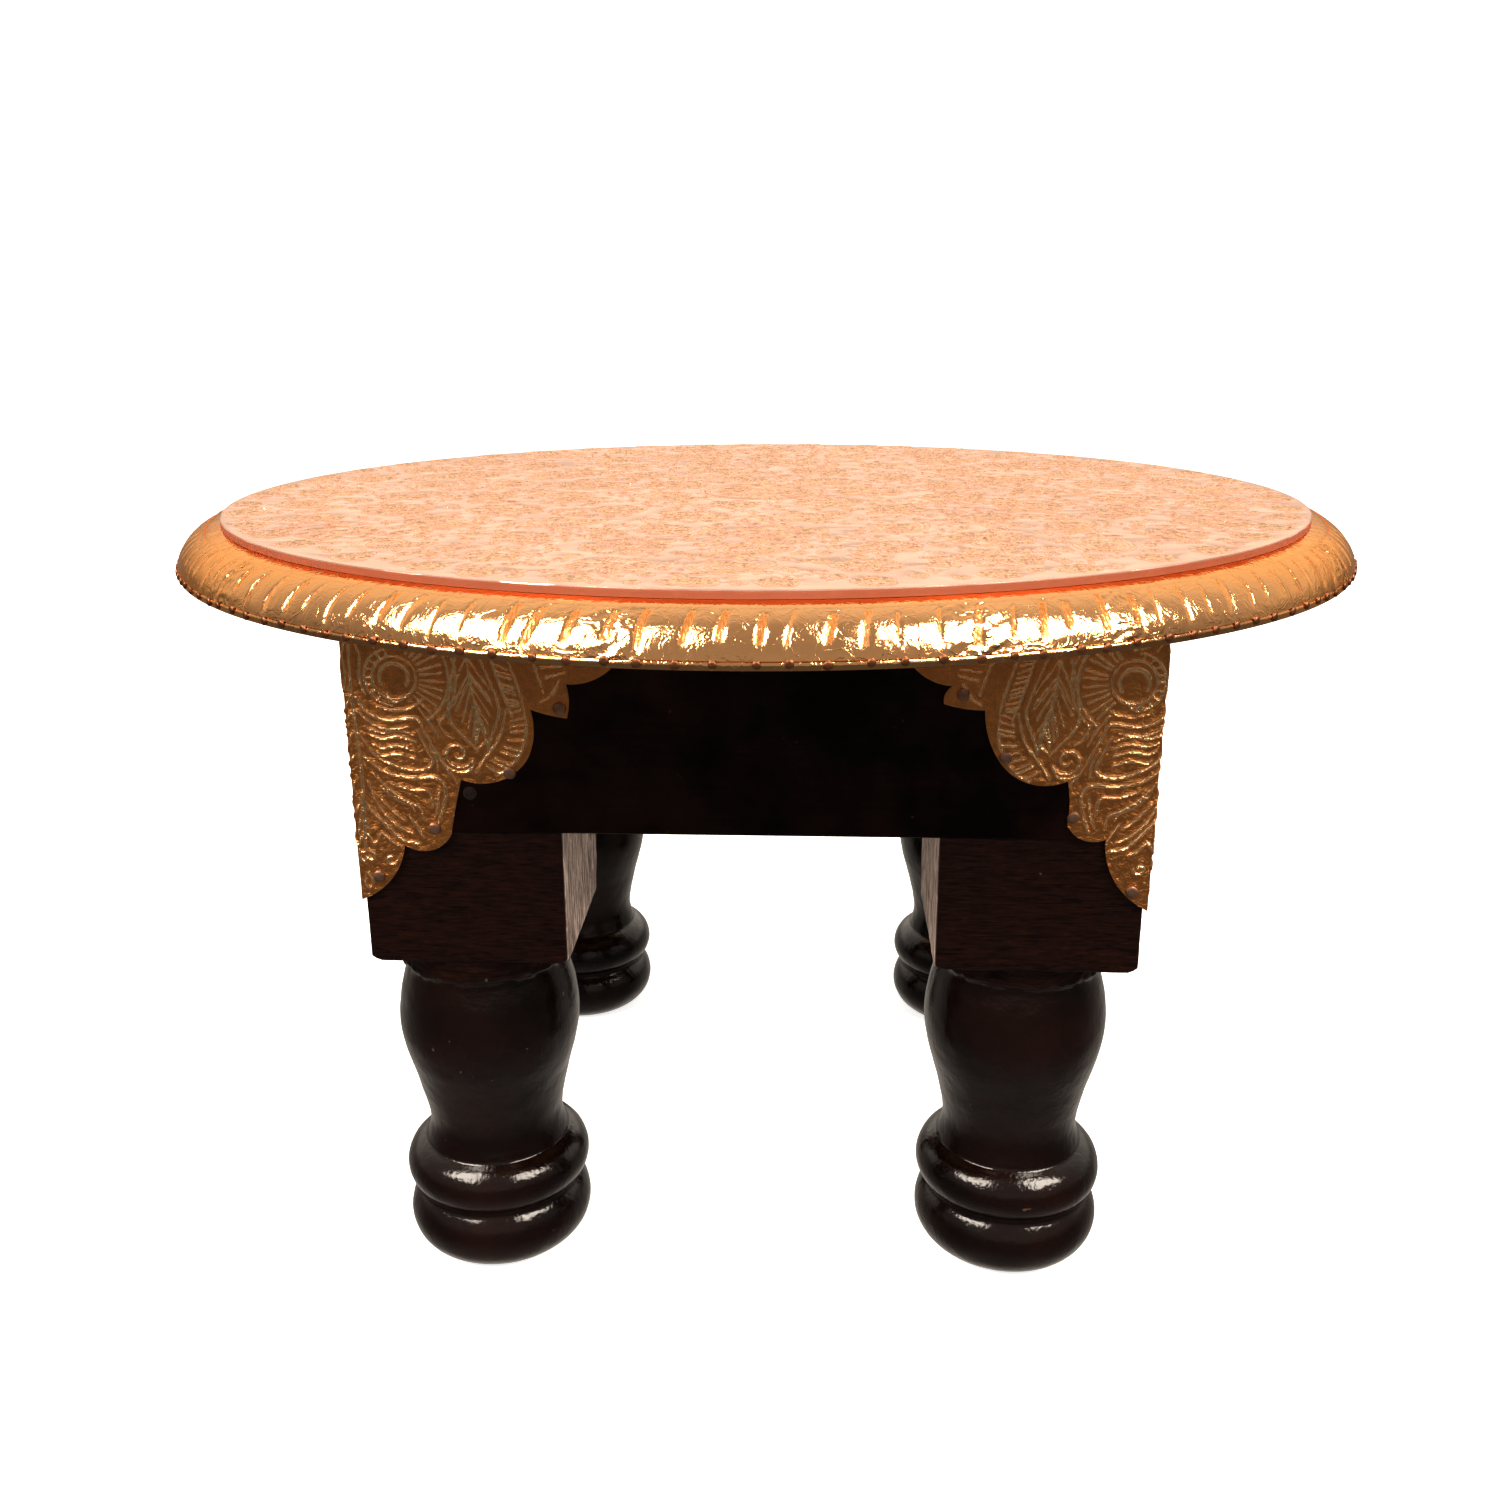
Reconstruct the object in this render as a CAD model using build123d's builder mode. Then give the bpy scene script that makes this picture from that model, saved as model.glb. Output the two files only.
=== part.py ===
from build123d import *
import os
from math import asin, cos, sin

# Low round table: a wooden disc clad in thin brass, on a square box of four rails with four
# turned legs, and a scalloped brass plate folded round each corner of the box.
# Millimetres, +Z up. The origin is on the ground, under the middle of the disc.

# --- Top disc ---------------------------------------------------------------------------------
tray_radius = 152.5          # widest point of the brass-clad edge
top_height = 188.6           # upper face of the brass top
plateau_radius = 141.6       # raised middle of the top
ledge_height = 186.3         # narrow ledge round the raised middle
shoulder_radius = 145.6      # where the ledge turns over into the rounded edge
shoulder_height = 185.3
edge_mid_radius = 149.9      # middle of the rounded edge
edge_mid_height = 182.1
lip_height = 177.4           # where the rounded edge meets the upright lip
disc_bottom = 176.0          # underside of the wooden disc
brass = 0.5                  # thickness of the brass over the disc
turned_under = 14.0          # width of the brass strip folded under the disc

# --- Box of rails -----------------------------------------------------------------------------
box_half = 91.1              # half the width of the box, to the faces of the rails
rail_bottom = 121.2
rail_thickness = 12.0
rail_edge = 0.6              # easing of the rails' lower edges
rail_height = disc_bottom - rail_bottom

# --- Legs -------------------------------------------------------------------------------------
block_inset = 0.5            # the leg blocks stand back from the faces of the rails
block_size = 47.5
block_bottom = 88.0
pommel_radius = 32.2         # rounding of the block's lower corners
pommel_height = 3.0
leg_axis = box_half - block_inset - block_size / 2
post_outer = box_half - rail_thickness
post_inner = box_half - block_inset - block_size
post_size = post_outer - post_inner
post_axis = (post_outer + post_inner) / 2

# --- Corner plates ----------------------------------------------------------------------------
plate_thickness = 0.4
plate_top = 175.4            # the plates stop just under the brass turned under the disc
plate_face = box_half + plate_thickness

# --- Nails and screws -------------------------------------------------------------------------
plate_nail_head = 1.45       # radius of the domed heads on the corner plates
plate_nail_dome = 0.8
plate_nail_shank = 0.55
plate_nail_length = 9.0
rim_nail_count = 140
rim_nail_head = 1.0
rim_nail_dome = 0.6
rim_nail_shank = 0.4
rim_nail_length = 7.0
rim_nail_height = 176.7
rail_nail_head = 1.6         # flat heads, driven flush with the rails
rail_nail_head_depth = 1.0
rail_nail_shank = 1.0
rail_nail_length = 36.0
screw_head = 4.0             # countersunk screws through the disc into the legs' posts
screw_shank = 1.9
screw_length = 38.0

corners = [(-1, -1), (1, -1), (1, 1), (-1, 1)]
corner_names = ["front_left", "front_right", "back_right", "back_left"]
side_names = ["front", "right", "back", "left"]

os.makedirs("parts", exist_ok=True)


def save(piece, name):
    piece.label = name
    export_step(piece, f"parts/{name}.step")


def side_plane(side, distance=0.0, height=0.0):
    """Upright plane on one side of the table, with x along that side and z pointing out."""
    turn = Rotation(0, 0, 90 * side)
    frame = turn * Location(Plane(origin=(0, -distance, height), x_dir=(1, 0, 0), z_dir=(0, -1, 0)))
    return Plane(frame)


# --- Where the fasteners go -------------------------------------------------------------------
# Places on a plate are given as (distance from the corner, distance below the disc). Each plate
# is a little wider on the side that runs anticlockwise from its corner than on the other side.
wide_nails = [(49.0, 24.2), (37.0, 39.5), (18.8, 53.2), (4.9, 65.2)]
narrow_nails = [(44.2, 20.2), (34.2, 34.7), (18.5, 48.6), (4.1, 66.5)]
plate_nail_datum = 175.5

# Rail nails: (distance from the end of the side, height above the rail's lower edge).
# The first of the wide end is the one left bare; the others are covered by the plates.
wide_rail_nails = [(27.0, 9.7), (20.0, 40.0)]
narrow_rail_nails = [(17.0, 24.0), (20.0, 47.0)]


def plate_nail_places():
    """(x along the side, height) of the plate nails on one side of the table."""
    wide = [(-box_half + along, plate_nail_datum - down) for along, down in wide_nails]
    narrow = [(box_half - along, plate_nail_datum - down) for along, down in narrow_nails]
    return wide + narrow


def rail_nail_places():
    """(x along the side, height) of the nails that hold one rail to its two posts."""
    wide = [(-box_half + along, rail_bottom + up) for along, up in wide_rail_nails]
    narrow = [(box_half - along, rail_bottom + up) for along, up in narrow_rail_nails]
    return wide + narrow


def nail_bores(side, places, radius, length, outer):
    """Round bores going in from one side, private so that a part block can subtract them."""
    plane = side_plane(side, outer)
    bore = Cylinder(radius, length, align=(Align.CENTER, Align.CENTER, Align.MAX), mode=Mode.PRIVATE)
    return [plane.location * Pos(x, z, 0) * bore for x, z in places]


def rail_nail_bores(side):
    """Bores of the flush rail nails: a shank and a wider recess for the head."""
    shanks = nail_bores(side, rail_nail_places(), rail_nail_shank, rail_nail_length, box_half)
    heads = nail_bores(side, rail_nail_places(), rail_nail_head, rail_nail_head_depth, box_half)
    return shanks + heads


def plate_nail_bores(side):
    reach = plate_nail_length + plate_thickness
    return nail_bores(side, plate_nail_places(), plate_nail_shank, reach, plate_face)


def rim_nail_places():
    """Locations round the lip, evenly spaced, with z pointing straight out from the disc."""
    front = Location(side_plane(0, tray_radius, rim_nail_height))
    return [Rotation(0, 0, 360 * (i + 0.5) / rim_nail_count) * front for i in range(rim_nail_count)]


def domed_nail(head, dome, shank, length):
    """Round nail with its head's underside at the origin, pointing down, under a spherical dome."""
    sphere = (head**2 + dome**2) / (2 * dome)
    half_angle = asin(head / sphere) / 2
    crown = (sphere * sin(half_angle), dome - sphere * (1 - cos(half_angle)))
    point = 2.5 * shank
    with BuildPart() as nail:
        with BuildSketch(Plane.XZ):
            with BuildLine():
                Polyline((0, dome), (0, -length), (shank, point - length), (shank, 0), (head, 0))
                ThreePointArc((head, 0), crown, (0, dome))
            make_face()
        revolve(axis=Axis.Z)
    return nail.part


def screw_plane(corner):
    """Plane on the wooden disc's upper face, over the middle of one leg's post."""
    x, y = corner
    return Plane.XY.offset(top_height - brass) * Pos(x * post_axis, y * post_axis, 0)


# --- Wooden disc ------------------------------------------------------------------------------
lip_bore = Cylinder(rim_nail_shank, rim_nail_length, align=(Align.CENTER, Align.CENTER, Align.MAX))
lip_bores = [place * lip_bore for place in rim_nail_places()]
core_plateau = plateau_radius - brass
core_radius = tray_radius - brass
edge_shift = brass * 0.7     # the rounded edge's middle point moves in along its slope

with BuildPart() as tray_core:
    with BuildSketch(Plane.XZ) as core_section:
        with BuildLine():
            Polyline(
                (0, disc_bottom),
                (0, top_height - brass),
                (core_plateau, top_height - brass),
                (core_plateau, ledge_height - brass),
                (shoulder_radius - brass / 2, shoulder_height - brass),
            )
            ThreePointArc(
                (shoulder_radius - brass / 2, shoulder_height - brass),
                (edge_mid_radius - edge_shift, edge_mid_height - edge_shift),
                (core_radius, lip_height - brass / 2),
            )
            Polyline((core_radius, lip_height - brass / 2), (core_radius, disc_bottom), (0, disc_bottom))
        make_face()
    revolve(axis=Axis.Z)
    add(lip_bores, mode=Mode.SUBTRACT)
    # Countersunk bores for the screws into the posts.
    for corner in corners:
        with Locations(screw_plane(corner)):
            CounterSinkHole(screw_shank, screw_head, counter_sink_angle=90)
save(tray_core.part, "tray_core")

# --- Brass top: an embossed sheet with its edge turned down round the raised middle -----------
with BuildPart() as top_sheet:
    with BuildSketch(Plane.XZ):
        with BuildLine():
            Polyline(
                (0, top_height - brass),
                (core_plateau, top_height - brass),
                (core_plateau, ledge_height),
                (plateau_radius, ledge_height),
                (plateau_radius, top_height),
                (0, top_height),
                close=True,
            )
        make_face()
    revolve(axis=Axis.Z)
save(top_sheet.part, "top_sheet")

# --- Brass strip round the edge: ledge, rounded edge, upright lip, and a flange underneath ----
under_radius = tray_radius - turned_under
sheet_bottom = disc_bottom - brass
flat_ledge = plateau_radius + brass

with BuildPart() as rim_sheet:
    with BuildSketch(Plane.XZ):
        with BuildLine():
            Polyline(
                (under_radius, sheet_bottom),
                (under_radius, disc_bottom),
                (core_radius, disc_bottom),
                (core_radius, lip_height - brass / 2),
            )
            ThreePointArc(
                (core_radius, lip_height - brass / 2),
                (edge_mid_radius - edge_shift, edge_mid_height - edge_shift),
                (shoulder_radius - brass / 2, shoulder_height - brass),
            )
            Polyline(
                (shoulder_radius - brass / 2, shoulder_height - brass),
                (core_plateau, ledge_height - brass),
                (core_plateau, ledge_height),
                (flat_ledge, ledge_height),
                (shoulder_radius, shoulder_height),
            )
            ThreePointArc(
                (shoulder_radius, shoulder_height),
                (edge_mid_radius, edge_mid_height),
                (tray_radius, lip_height),
            )
            Polyline((tray_radius, lip_height), (tray_radius, sheet_bottom), (under_radius, sheet_bottom))
        make_face()
    revolve(axis=Axis.Z)
    add(lip_bores, mode=Mode.SUBTRACT)
save(rim_sheet.part, "rim_sheet")

# --- Small domed nails round the lip ----------------------------------------------------------
rim_nail = domed_nail(rim_nail_head, rim_nail_dome, rim_nail_shank, rim_nail_length)

rim_nails = Compound(children=[place * rim_nail for place in rim_nail_places()])
save(rim_nails, "rim_nails")

# --- Rails: the front and back run the full width, the sides fit between them -----------------
for side, side_name in enumerate(side_names):
    rail_length = 2 * box_half if side % 2 == 0 else 2 * post_outer
    with BuildPart() as rail:
        with BuildSketch(side_plane(side, box_half, rail_bottom + rail_height / 2)):
            Rectangle(rail_length, rail_height)
        extrude(amount=-rail_thickness)
        lower_edges = rail.edges().group_by(Axis.Z)[0].sort_by(SortBy.LENGTH)[-2:]
        fillet(lower_edges, rail_edge)
        add(plate_nail_bores(side), mode=Mode.SUBTRACT)
        add(rail_nail_bores(side), mode=Mode.SUBTRACT)
        if side % 2 == 0:
            # The neighbouring sides' plate nails also pass through this rail's ends.
            add(plate_nail_bores((side + 1) % 4), mode=Mode.SUBTRACT)
            add(plate_nail_bores((side + 3) % 4), mode=Mode.SUBTRACT)
    save(rail.part, f"{side_name}_rail")

# --- Legs: turned foot, bead, waist, vase and collar under a square block, with a post above --
foot_sole = 18.0
foot_radius = 23.7
groove_radius = 20.8
bead_radius = 23.7
collar_radius = 21.3

for corner, corner_name, side in zip(corners, corner_names, range(4)):
    x, y = corner
    leg_centre = (x * leg_axis, y * leg_axis, 0)
    turning = Plane(origin=leg_centre, x_dir=(1, 0, 0), z_dir=(0, -1, 0))
    turning_axis = Axis(leg_centre, (0, 0, 1))
    with BuildPart() as leg:
        # Square block, its lower corners rounded off by the turning tool.
        with BuildSketch(Plane(origin=(leg_centre[0], leg_centre[1], block_bottom))):
            Rectangle(block_size, block_size)
        extrude(amount=rail_bottom - block_bottom)
        with BuildSketch(turning):
            with BuildLine():
                Polyline(
                    (0, block_bottom),
                    (pommel_radius, block_bottom),
                    (block_size * 0.71, block_bottom + pommel_height),
                    (block_size * 0.71, rail_bottom),
                    (0, rail_bottom),
                    close=True,
                )
            make_face()
        revolve(axis=turning_axis, mode=Mode.INTERSECT)
        # Turned length from the sole up to the block.
        with BuildSketch(turning):
            with BuildLine():
                Line((0, 0), (foot_sole, 0))
                ThreePointArc((foot_sole, 0), (foot_radius, 8.5), (groove_radius, 16.0))
                Line((groove_radius, 16.0), (groove_radius, 17.0))
                ThreePointArc((groove_radius, 17.0), (bead_radius, 22.6), (18.4, 29.8))
                Spline(
                    (18.4, 29.8),
                    (17.1, 36.5),
                    (19.1, 47.0),
                    (21.8, 57.0),
                    (22.75, 64.5),
                    (22.0, 72.5),
                    (20.1, 79.8),
                )
                Polyline((20.1, 79.8), (20.1, 80.8), (collar_radius, 81.8))
                Polyline((collar_radius, 81.8), (collar_radius, block_bottom), (0, block_bottom), (0, 0))
            make_face()
        revolve(axis=turning_axis)
        # Post inside the corner of the box, up to the disc.
        with BuildSketch(Plane(origin=(x * post_axis, y * post_axis, rail_bottom))):
            Rectangle(post_size, post_size)
        extrude(amount=rail_height)
        # This corner is the wide end of one side and the narrow end of the side before it.
        for near_side in (side, (side + 3) % 4):
            add(plate_nail_bores(near_side), mode=Mode.SUBTRACT)
            add(rail_nail_bores(near_side), mode=Mode.SUBTRACT)
        with Locations(Plane(origin=(x * post_axis, y * post_axis, disc_bottom))):
            Hole(screw_shank, screw_length)
    save(leg.part, f"{corner_name}_leg")

# --- Corner plates ----------------------------------------------------------------------------
# Each leaf's lower outline, from under the disc down to the tip on the fold: three lobes
# between two notches, with a horn beside the first. Places are (from the corner, below the disc).
wide_lobes = [
    [(64.5, 9.0), (59.9, 15.8), (50.7, 18.6)],
    [(50.7, 18.6), (51.2, 22.3), (50.6, 26.5)],
    [(50.6, 26.5), (46.5, 25.8), (42.4, 24.5)],
    [(42.4, 24.5), (42.9, 30.5), (41.2, 36.2)],
    [(41.2, 36.2), (35.0, 41.3), (25.7, 41.3)],
    [(25.7, 41.3), (24.0, 48.0), (22.6, 54.6)],
    [(22.6, 54.6), (18.6, 58.3), (11.5, 57.4)],
    [(11.5, 57.4), (8.3, 65.3), (0.0, 71.3)],
]
narrow_lobes = [
    [(58.0, 9.0), (54.2, 15.2), (46.7, 18.3)],
    [(46.7, 18.3), (48.2, 20.1), (48.4, 22.4)],
    [(48.4, 22.4), (44.2, 23.4), (39.3, 23.8)],
    [(39.3, 23.8), (38.2, 30.3), (35.2, 36.2)],
    [(35.2, 36.2), (28.8, 40.7), (20.2, 40.1)],
    [(20.2, 40.1), (19.5, 45.2), (19.7, 50.4)],
    [(19.7, 50.4), (16.6, 53.8), (10.9, 53.9)],
    [(10.9, 53.9), (7.9, 64.5), (0.0, 71.3)],
]


def leaf_outline(lobes, direction):
    """Closed outline of one leaf on its side's plane; direction +1 runs along +x, -1 along -x."""
    corner_x = -direction * box_half

    def place(along, down):
        return (corner_x + direction * along, plate_nail_datum - down)

    fold_x = -direction * plate_face
    tip = place(*lobes[-1][-1])
    with BuildLine(mode=Mode.PRIVATE) as outline:
        start = place(*lobes[0][0])
        Polyline((fold_x, tip[1]), (fold_x, plate_top), (start[0], plate_top), start)
        for lobe in lobes:
            ThreePointArc(*[place(along, down) for along, down in lobe])
        Line(tip, (fold_x, tip[1]))
    return outline.line


for side, corner_name in enumerate(corner_names):
    with BuildPart() as plate:
        with BuildSketch(side_plane(side, box_half)):
            make_face(leaf_outline(wide_lobes, 1).edges())
        extrude(amount=plate_thickness)
        with BuildSketch(side_plane((side + 3) % 4, box_half)):
            make_face(leaf_outline(narrow_lobes, -1).edges())
        extrude(amount=plate_thickness)
        for near_side in (side, (side + 3) % 4):
            add(plate_nail_bores(near_side), mode=Mode.SUBTRACT)
    save(plate.part, f"{corner_name}_plate")

# --- Domed nails of the corner plates ---------------------------------------------------------
plate_nail = domed_nail(plate_nail_head, plate_nail_dome, plate_nail_shank, plate_nail_length)

for side, corner_name in enumerate(corner_names):
    wide_plane = Location(side_plane(side, plate_face))
    narrow_plane = Location(side_plane((side + 3) % 4, plate_face))
    wide_places = plate_nail_places()[: len(wide_nails)]
    narrow_places = plate_nail_places()[len(wide_nails) :]
    on_wide = [wide_plane * Pos(x, z, 0) * plate_nail for x, z in wide_places]
    on_narrow = [narrow_plane * Pos(x, z, 0) * plate_nail for x, z in narrow_places]
    save(Compound(children=on_wide + on_narrow), f"{corner_name}_plate_nails")

# --- Flush nails that hold the rails to the posts ---------------------------------------------
with BuildPart() as rail_nail:
    with BuildSketch(Plane.XZ):
        with BuildLine():
            Polyline(
                (0, 0),
                (rail_nail_head, 0),
                (rail_nail_head, -rail_nail_head_depth),
                (rail_nail_shank, -rail_nail_head_depth),
                (rail_nail_shank, -rail_nail_length + 3),
                (0, -rail_nail_length),
                close=True,
            )
        make_face()
    revolve(axis=Axis.Z)

rail_nails = Compound(
    children=[
        Location(side_plane(side, box_half)) * Pos(px, pz, 0) * rail_nail.part
        for side in range(4)
        for px, pz in rail_nail_places()
    ]
)
save(rail_nails, "rail_nails")

# --- Countersunk screws, under the brass top, that hold the disc to the legs ------------------
with BuildPart() as top_screw:
    with BuildSketch(Plane.XZ):
        with BuildLine():
            Polyline(
                (0, 0),
                (screw_head, 0),
                (screw_shank, -(screw_head - screw_shank)),
                (screw_shank, -screw_length + 5),
                (0, -screw_length),
                close=True,
            )
        make_face()
    revolve(axis=Axis.Z)

top_screws = Compound(children=[Location(screw_plane(corner)) * top_screw.part for corner in corners])
save(top_screws, "top_screws")
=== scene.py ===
import math

import bpy
import numpy as np
from mathutils import Matrix, Vector
from mathutils.geometry import delaunay_2d_cdt


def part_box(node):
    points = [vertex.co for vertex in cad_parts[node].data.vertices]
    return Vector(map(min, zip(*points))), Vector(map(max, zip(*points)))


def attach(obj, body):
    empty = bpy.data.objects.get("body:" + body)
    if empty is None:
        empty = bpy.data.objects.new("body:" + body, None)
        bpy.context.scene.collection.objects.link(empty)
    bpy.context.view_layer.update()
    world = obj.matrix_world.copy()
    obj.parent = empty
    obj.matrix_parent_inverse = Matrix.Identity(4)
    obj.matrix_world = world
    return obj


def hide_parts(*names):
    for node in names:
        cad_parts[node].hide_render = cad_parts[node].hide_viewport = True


# Low round table: a wooden disc clad in embossed and crimped sheet brass, on a dark lacquered
# box with four turned legs and a scalloped, embossed brass plate folded round each corner.
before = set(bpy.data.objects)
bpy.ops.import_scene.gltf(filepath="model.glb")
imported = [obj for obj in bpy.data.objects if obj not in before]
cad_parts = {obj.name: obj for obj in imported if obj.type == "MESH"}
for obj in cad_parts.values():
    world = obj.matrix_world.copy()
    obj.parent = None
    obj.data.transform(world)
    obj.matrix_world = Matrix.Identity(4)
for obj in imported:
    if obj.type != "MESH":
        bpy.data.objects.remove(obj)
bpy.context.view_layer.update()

MM = 0.001

# --- Sizes, in millimetres, read from the frame ---


def box_mm(node):
    low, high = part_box(node)
    return np.array(low) / MM, np.array(high) / MM


top_low, top_high = box_mm("top_sheet")
rim_low, rim_high = box_mm("rim_sheet")
nails_low, nails_high = box_mm("rim_nails")
rail_low, rail_high = box_mm("front_rail")
leg_low, leg_high = box_mm("front_left_leg")
plate_low, plate_high = box_mm("front_left_plate")

plateau_radius = top_high[0]
top_height = top_high[2]
ledge_height = top_low[2]
rim_radius = rim_high[0]
rim_bottom = rim_low[2]
box_half = rail_high[0]
rail_bottom = rail_low[2]
disc_bottom = rail_high[2]
block_size = leg_high[0] - leg_low[0]
leg_axis = -(leg_low[0] + leg_high[0]) / 2
plate_face = -plate_low[0]
plate_top = plate_high[2]

rim_nail_height = (nails_low[2] + nails_high[2]) / 2

# Sizes that can't be read from the boxes of the frame, as in CAD.
shoulder = (145.6, 185.3)    # radius and height where the rounded edge starts, beside the ledge
edge_middle = (149.9, 182.1)    # a point half way round the edge
lip_top = 177.4              # where the edge meets the upright lip
round_width = 11.5           # from the shoulder to the lip, along the edge
strip_inner_radius = rim_radius - 14.0
rim_nail_count = 140
block_bottom = 88.0
rail_thickness = 12.0
plate_datum = 175.5          # height that a corner plate's drawing is measured down from

# --- Numbers: noise, curves and height fields ---


def ease(low, high, x):
    t = np.clip((x - low) / (high - low), 0.0, 1.0)
    return t * t * (3 - 2 * t)


def noise2(x, y, size, seed):
    """Smooth value noise from -1 to 1 with features of the given size."""
    table = np.random.default_rng(seed).uniform(-1, 1, (256, 256))
    u = np.asarray(x, float) / size
    v = np.asarray(y, float) / size
    iu = np.floor(u).astype(int)
    iv = np.floor(v).astype(int)
    fu = u - iu
    fv = v - iv
    fu = fu * fu * (3 - 2 * fu)
    fv = fv * fv * (3 - 2 * fv)

    def at(i, j):
        return table[i % 256, j % 256]

    low = at(iu, iv) * (1 - fu) + at(iu + 1, iv) * fu
    high = at(iu, iv + 1) * (1 - fu) + at(iu + 1, iv + 1) * fu
    return low * (1 - fv) + high * fv


def flow(points, per_span=5):
    """Smooth curve through given points (Catmull-Rom)."""
    p = np.asarray(points, float)
    if len(p) < 3:
        return p
    p = np.vstack([2 * p[0] - p[1], p, 2 * p[-1] - p[-2]])
    out = []
    for a, b, c, d in zip(p[:-3], p[1:-2], p[2:-1], p[3:]):
        t = np.linspace(0, 1, per_span, endpoint=False)[:, None]
        cubic = (3 * b - a - 3 * c + d) * t**3
        out.append(0.5 * (2 * b + (c - a) * t + (2 * a - 5 * b + 4 * c - d) * t**2 + cubic))
    out.append(p[-2:-1])
    return np.vstack(out)


def polar(centre, radius, angle):
    return centre[0] + radius * math.cos(angle), centre[1] + radius * math.sin(angle)


def arc(centre, radius, start, end, steps=14):
    angles = np.radians(np.linspace(start, end, steps))
    return np.stack([centre[0] + radius * np.cos(angles), centre[1] + radius * np.sin(angles)], 1)


def spiral(centre, radius, start, turns, steps=26):
    t = np.linspace(0, 1, steps)
    angles = np.radians(start) + 2 * np.pi * turns * t
    reach = radius * (1 - 0.8 * t)
    return np.stack([centre[0] + reach * np.cos(angles), centre[1] + reach * np.sin(angles)], 1)


class Relief:
    """Height field in millimetres on a regular grid, raised by strokes with a rounded section."""

    def __init__(self, low, high, step):
        self.low = np.array(low, float)
        self.step = step
        count = np.ceil((np.array(high, float) - self.low) / step).astype(int) + 1
        self.height = np.zeros((count[1], count[0]))

    def stroke(self, points, half_width, height, taper=0.0):
        """Raise a ridge along a line; taper narrows it towards both ends."""
        points = np.asarray(points, float)
        last = max(len(points) - 2, 1)
        for k, (a, b) in enumerate(zip(points[:-1], points[1:])):
            middle = 1 - abs(2 * k / last - 1) if last > 1 else 1.0
            width = half_width * (1 - taper * (1 - middle))
            low = np.floor((np.minimum(a, b) - width - self.low) / self.step).astype(int)
            high = np.ceil((np.maximum(a, b) + width - self.low) / self.step).astype(int) + 1
            low = np.maximum(low, 0)
            high = np.minimum(high, self.height.shape[::-1])
            if (high <= low).any():
                continue
            gx = self.low[0] + self.step * np.arange(low[0], high[0])[None, :]
            gy = self.low[1] + self.step * np.arange(low[1], high[1])[:, None]
            d = b - a
            t = np.clip(((gx - a[0]) * d[0] + (gy - a[1]) * d[1]) / max(d @ d, 1e-9), 0, 1)
            away = np.hypot(gx - a[0] - t * d[0], gy - a[1] - t * d[1]) / width
            ridge = height * (1 - np.minimum(away, 1) ** 2) ** 1.5
            window = self.height[low[1] : high[1], low[0] : high[0]]
            np.maximum(window, ridge, out=window)

    def dot(self, centre, radius, height):
        self.stroke([centre, (centre[0] + 0.01, centre[1])], radius, height)

    def sample(self, x, y):
        u = np.clip((x - self.low[0]) / self.step, 0, self.height.shape[1] - 1.001)
        v = np.clip((y - self.low[1]) / self.step, 0, self.height.shape[0] - 1.001)
        i = u.astype(int)
        j = v.astype(int)
        fu = u - i
        fv = v - j
        h = self.height
        low = h[j, i] * (1 - fu) + h[j, i + 1] * fu
        high = h[j + 1, i] * (1 - fu) + h[j + 1, i + 1] * fu
        return low * (1 - fv) + high * fv


# --- Meshes ---


def make_piece(name, verts_mm, faces, material, replaced=()):
    """New piece from vertices in millimetres and faces of three or four corners."""
    mesh = bpy.data.meshes.new(name)
    mesh.from_pydata((np.asarray(verts_mm) * MM).tolist(), [], [list(f) for f in faces])
    mesh.validate()
    piece = bpy.data.objects.new(name, mesh)
    bpy.context.scene.collection.objects.link(piece)
    mesh.materials.append(material)
    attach(piece, "root")
    if replaced:
        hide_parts(*replaced)
    return piece


def shade_smooth(piece, angle):
    mesh = piece.data
    mesh.polygons.foreach_set("use_smooth", np.ones(len(mesh.polygons), bool))
    mesh.set_sharp_from_angle(angle=math.radians(angle))


def grid_faces(rows, columns, close_columns=False, start=0):
    """Quads of a grid whose vertices run row by row."""
    i = np.arange(rows - 1)[:, None]
    j = np.arange(columns if close_columns else columns - 1)[None, :]
    k = (j + 1) % columns
    a = start + i * columns + j
    b = start + i * columns + k
    c = start + (i + 1) * columns + k
    d = start + (i + 1) * columns + j
    return np.stack([a, b, c, d], -1).reshape(-1, 4)


def thin_out(piece, triangles):
    """Reduce a dense mesh to about this many triangles, keeping the shape."""
    now = sum(len(p.vertices) - 2 for p in piece.data.polygons)
    if now <= triangles:
        return
    modifier = piece.modifiers.new("thin", "DECIMATE")
    modifier.ratio = triangles / now
    evaluated = piece.evaluated_get(bpy.context.evaluated_depsgraph_get())
    mesh = bpy.data.meshes.new_from_object(evaluated)
    piece.modifiers.clear()
    old = piece.data
    piece.data = mesh
    bpy.data.meshes.remove(old)


def points_mm(piece):
    co = np.empty(len(piece.data.vertices) * 3, np.float32)
    piece.data.vertices.foreach_get("co", co)
    return co.reshape(-1, 3) / MM


def store(piece, name, values):
    """Keep a number from 0 to 1 for each vertex, for the material to read."""
    attribute = piece.data.attributes.new(name, "FLOAT", "POINT")
    attribute.data.foreach_set("value", np.clip(values, 0, 1).astype(np.float32))


# --- Materials ---


def rgba(value):
    """Colour from a grey or from three parts."""
    return (value, value, value, 1) if isinstance(value, (int, float)) else (*value, 1)


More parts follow.
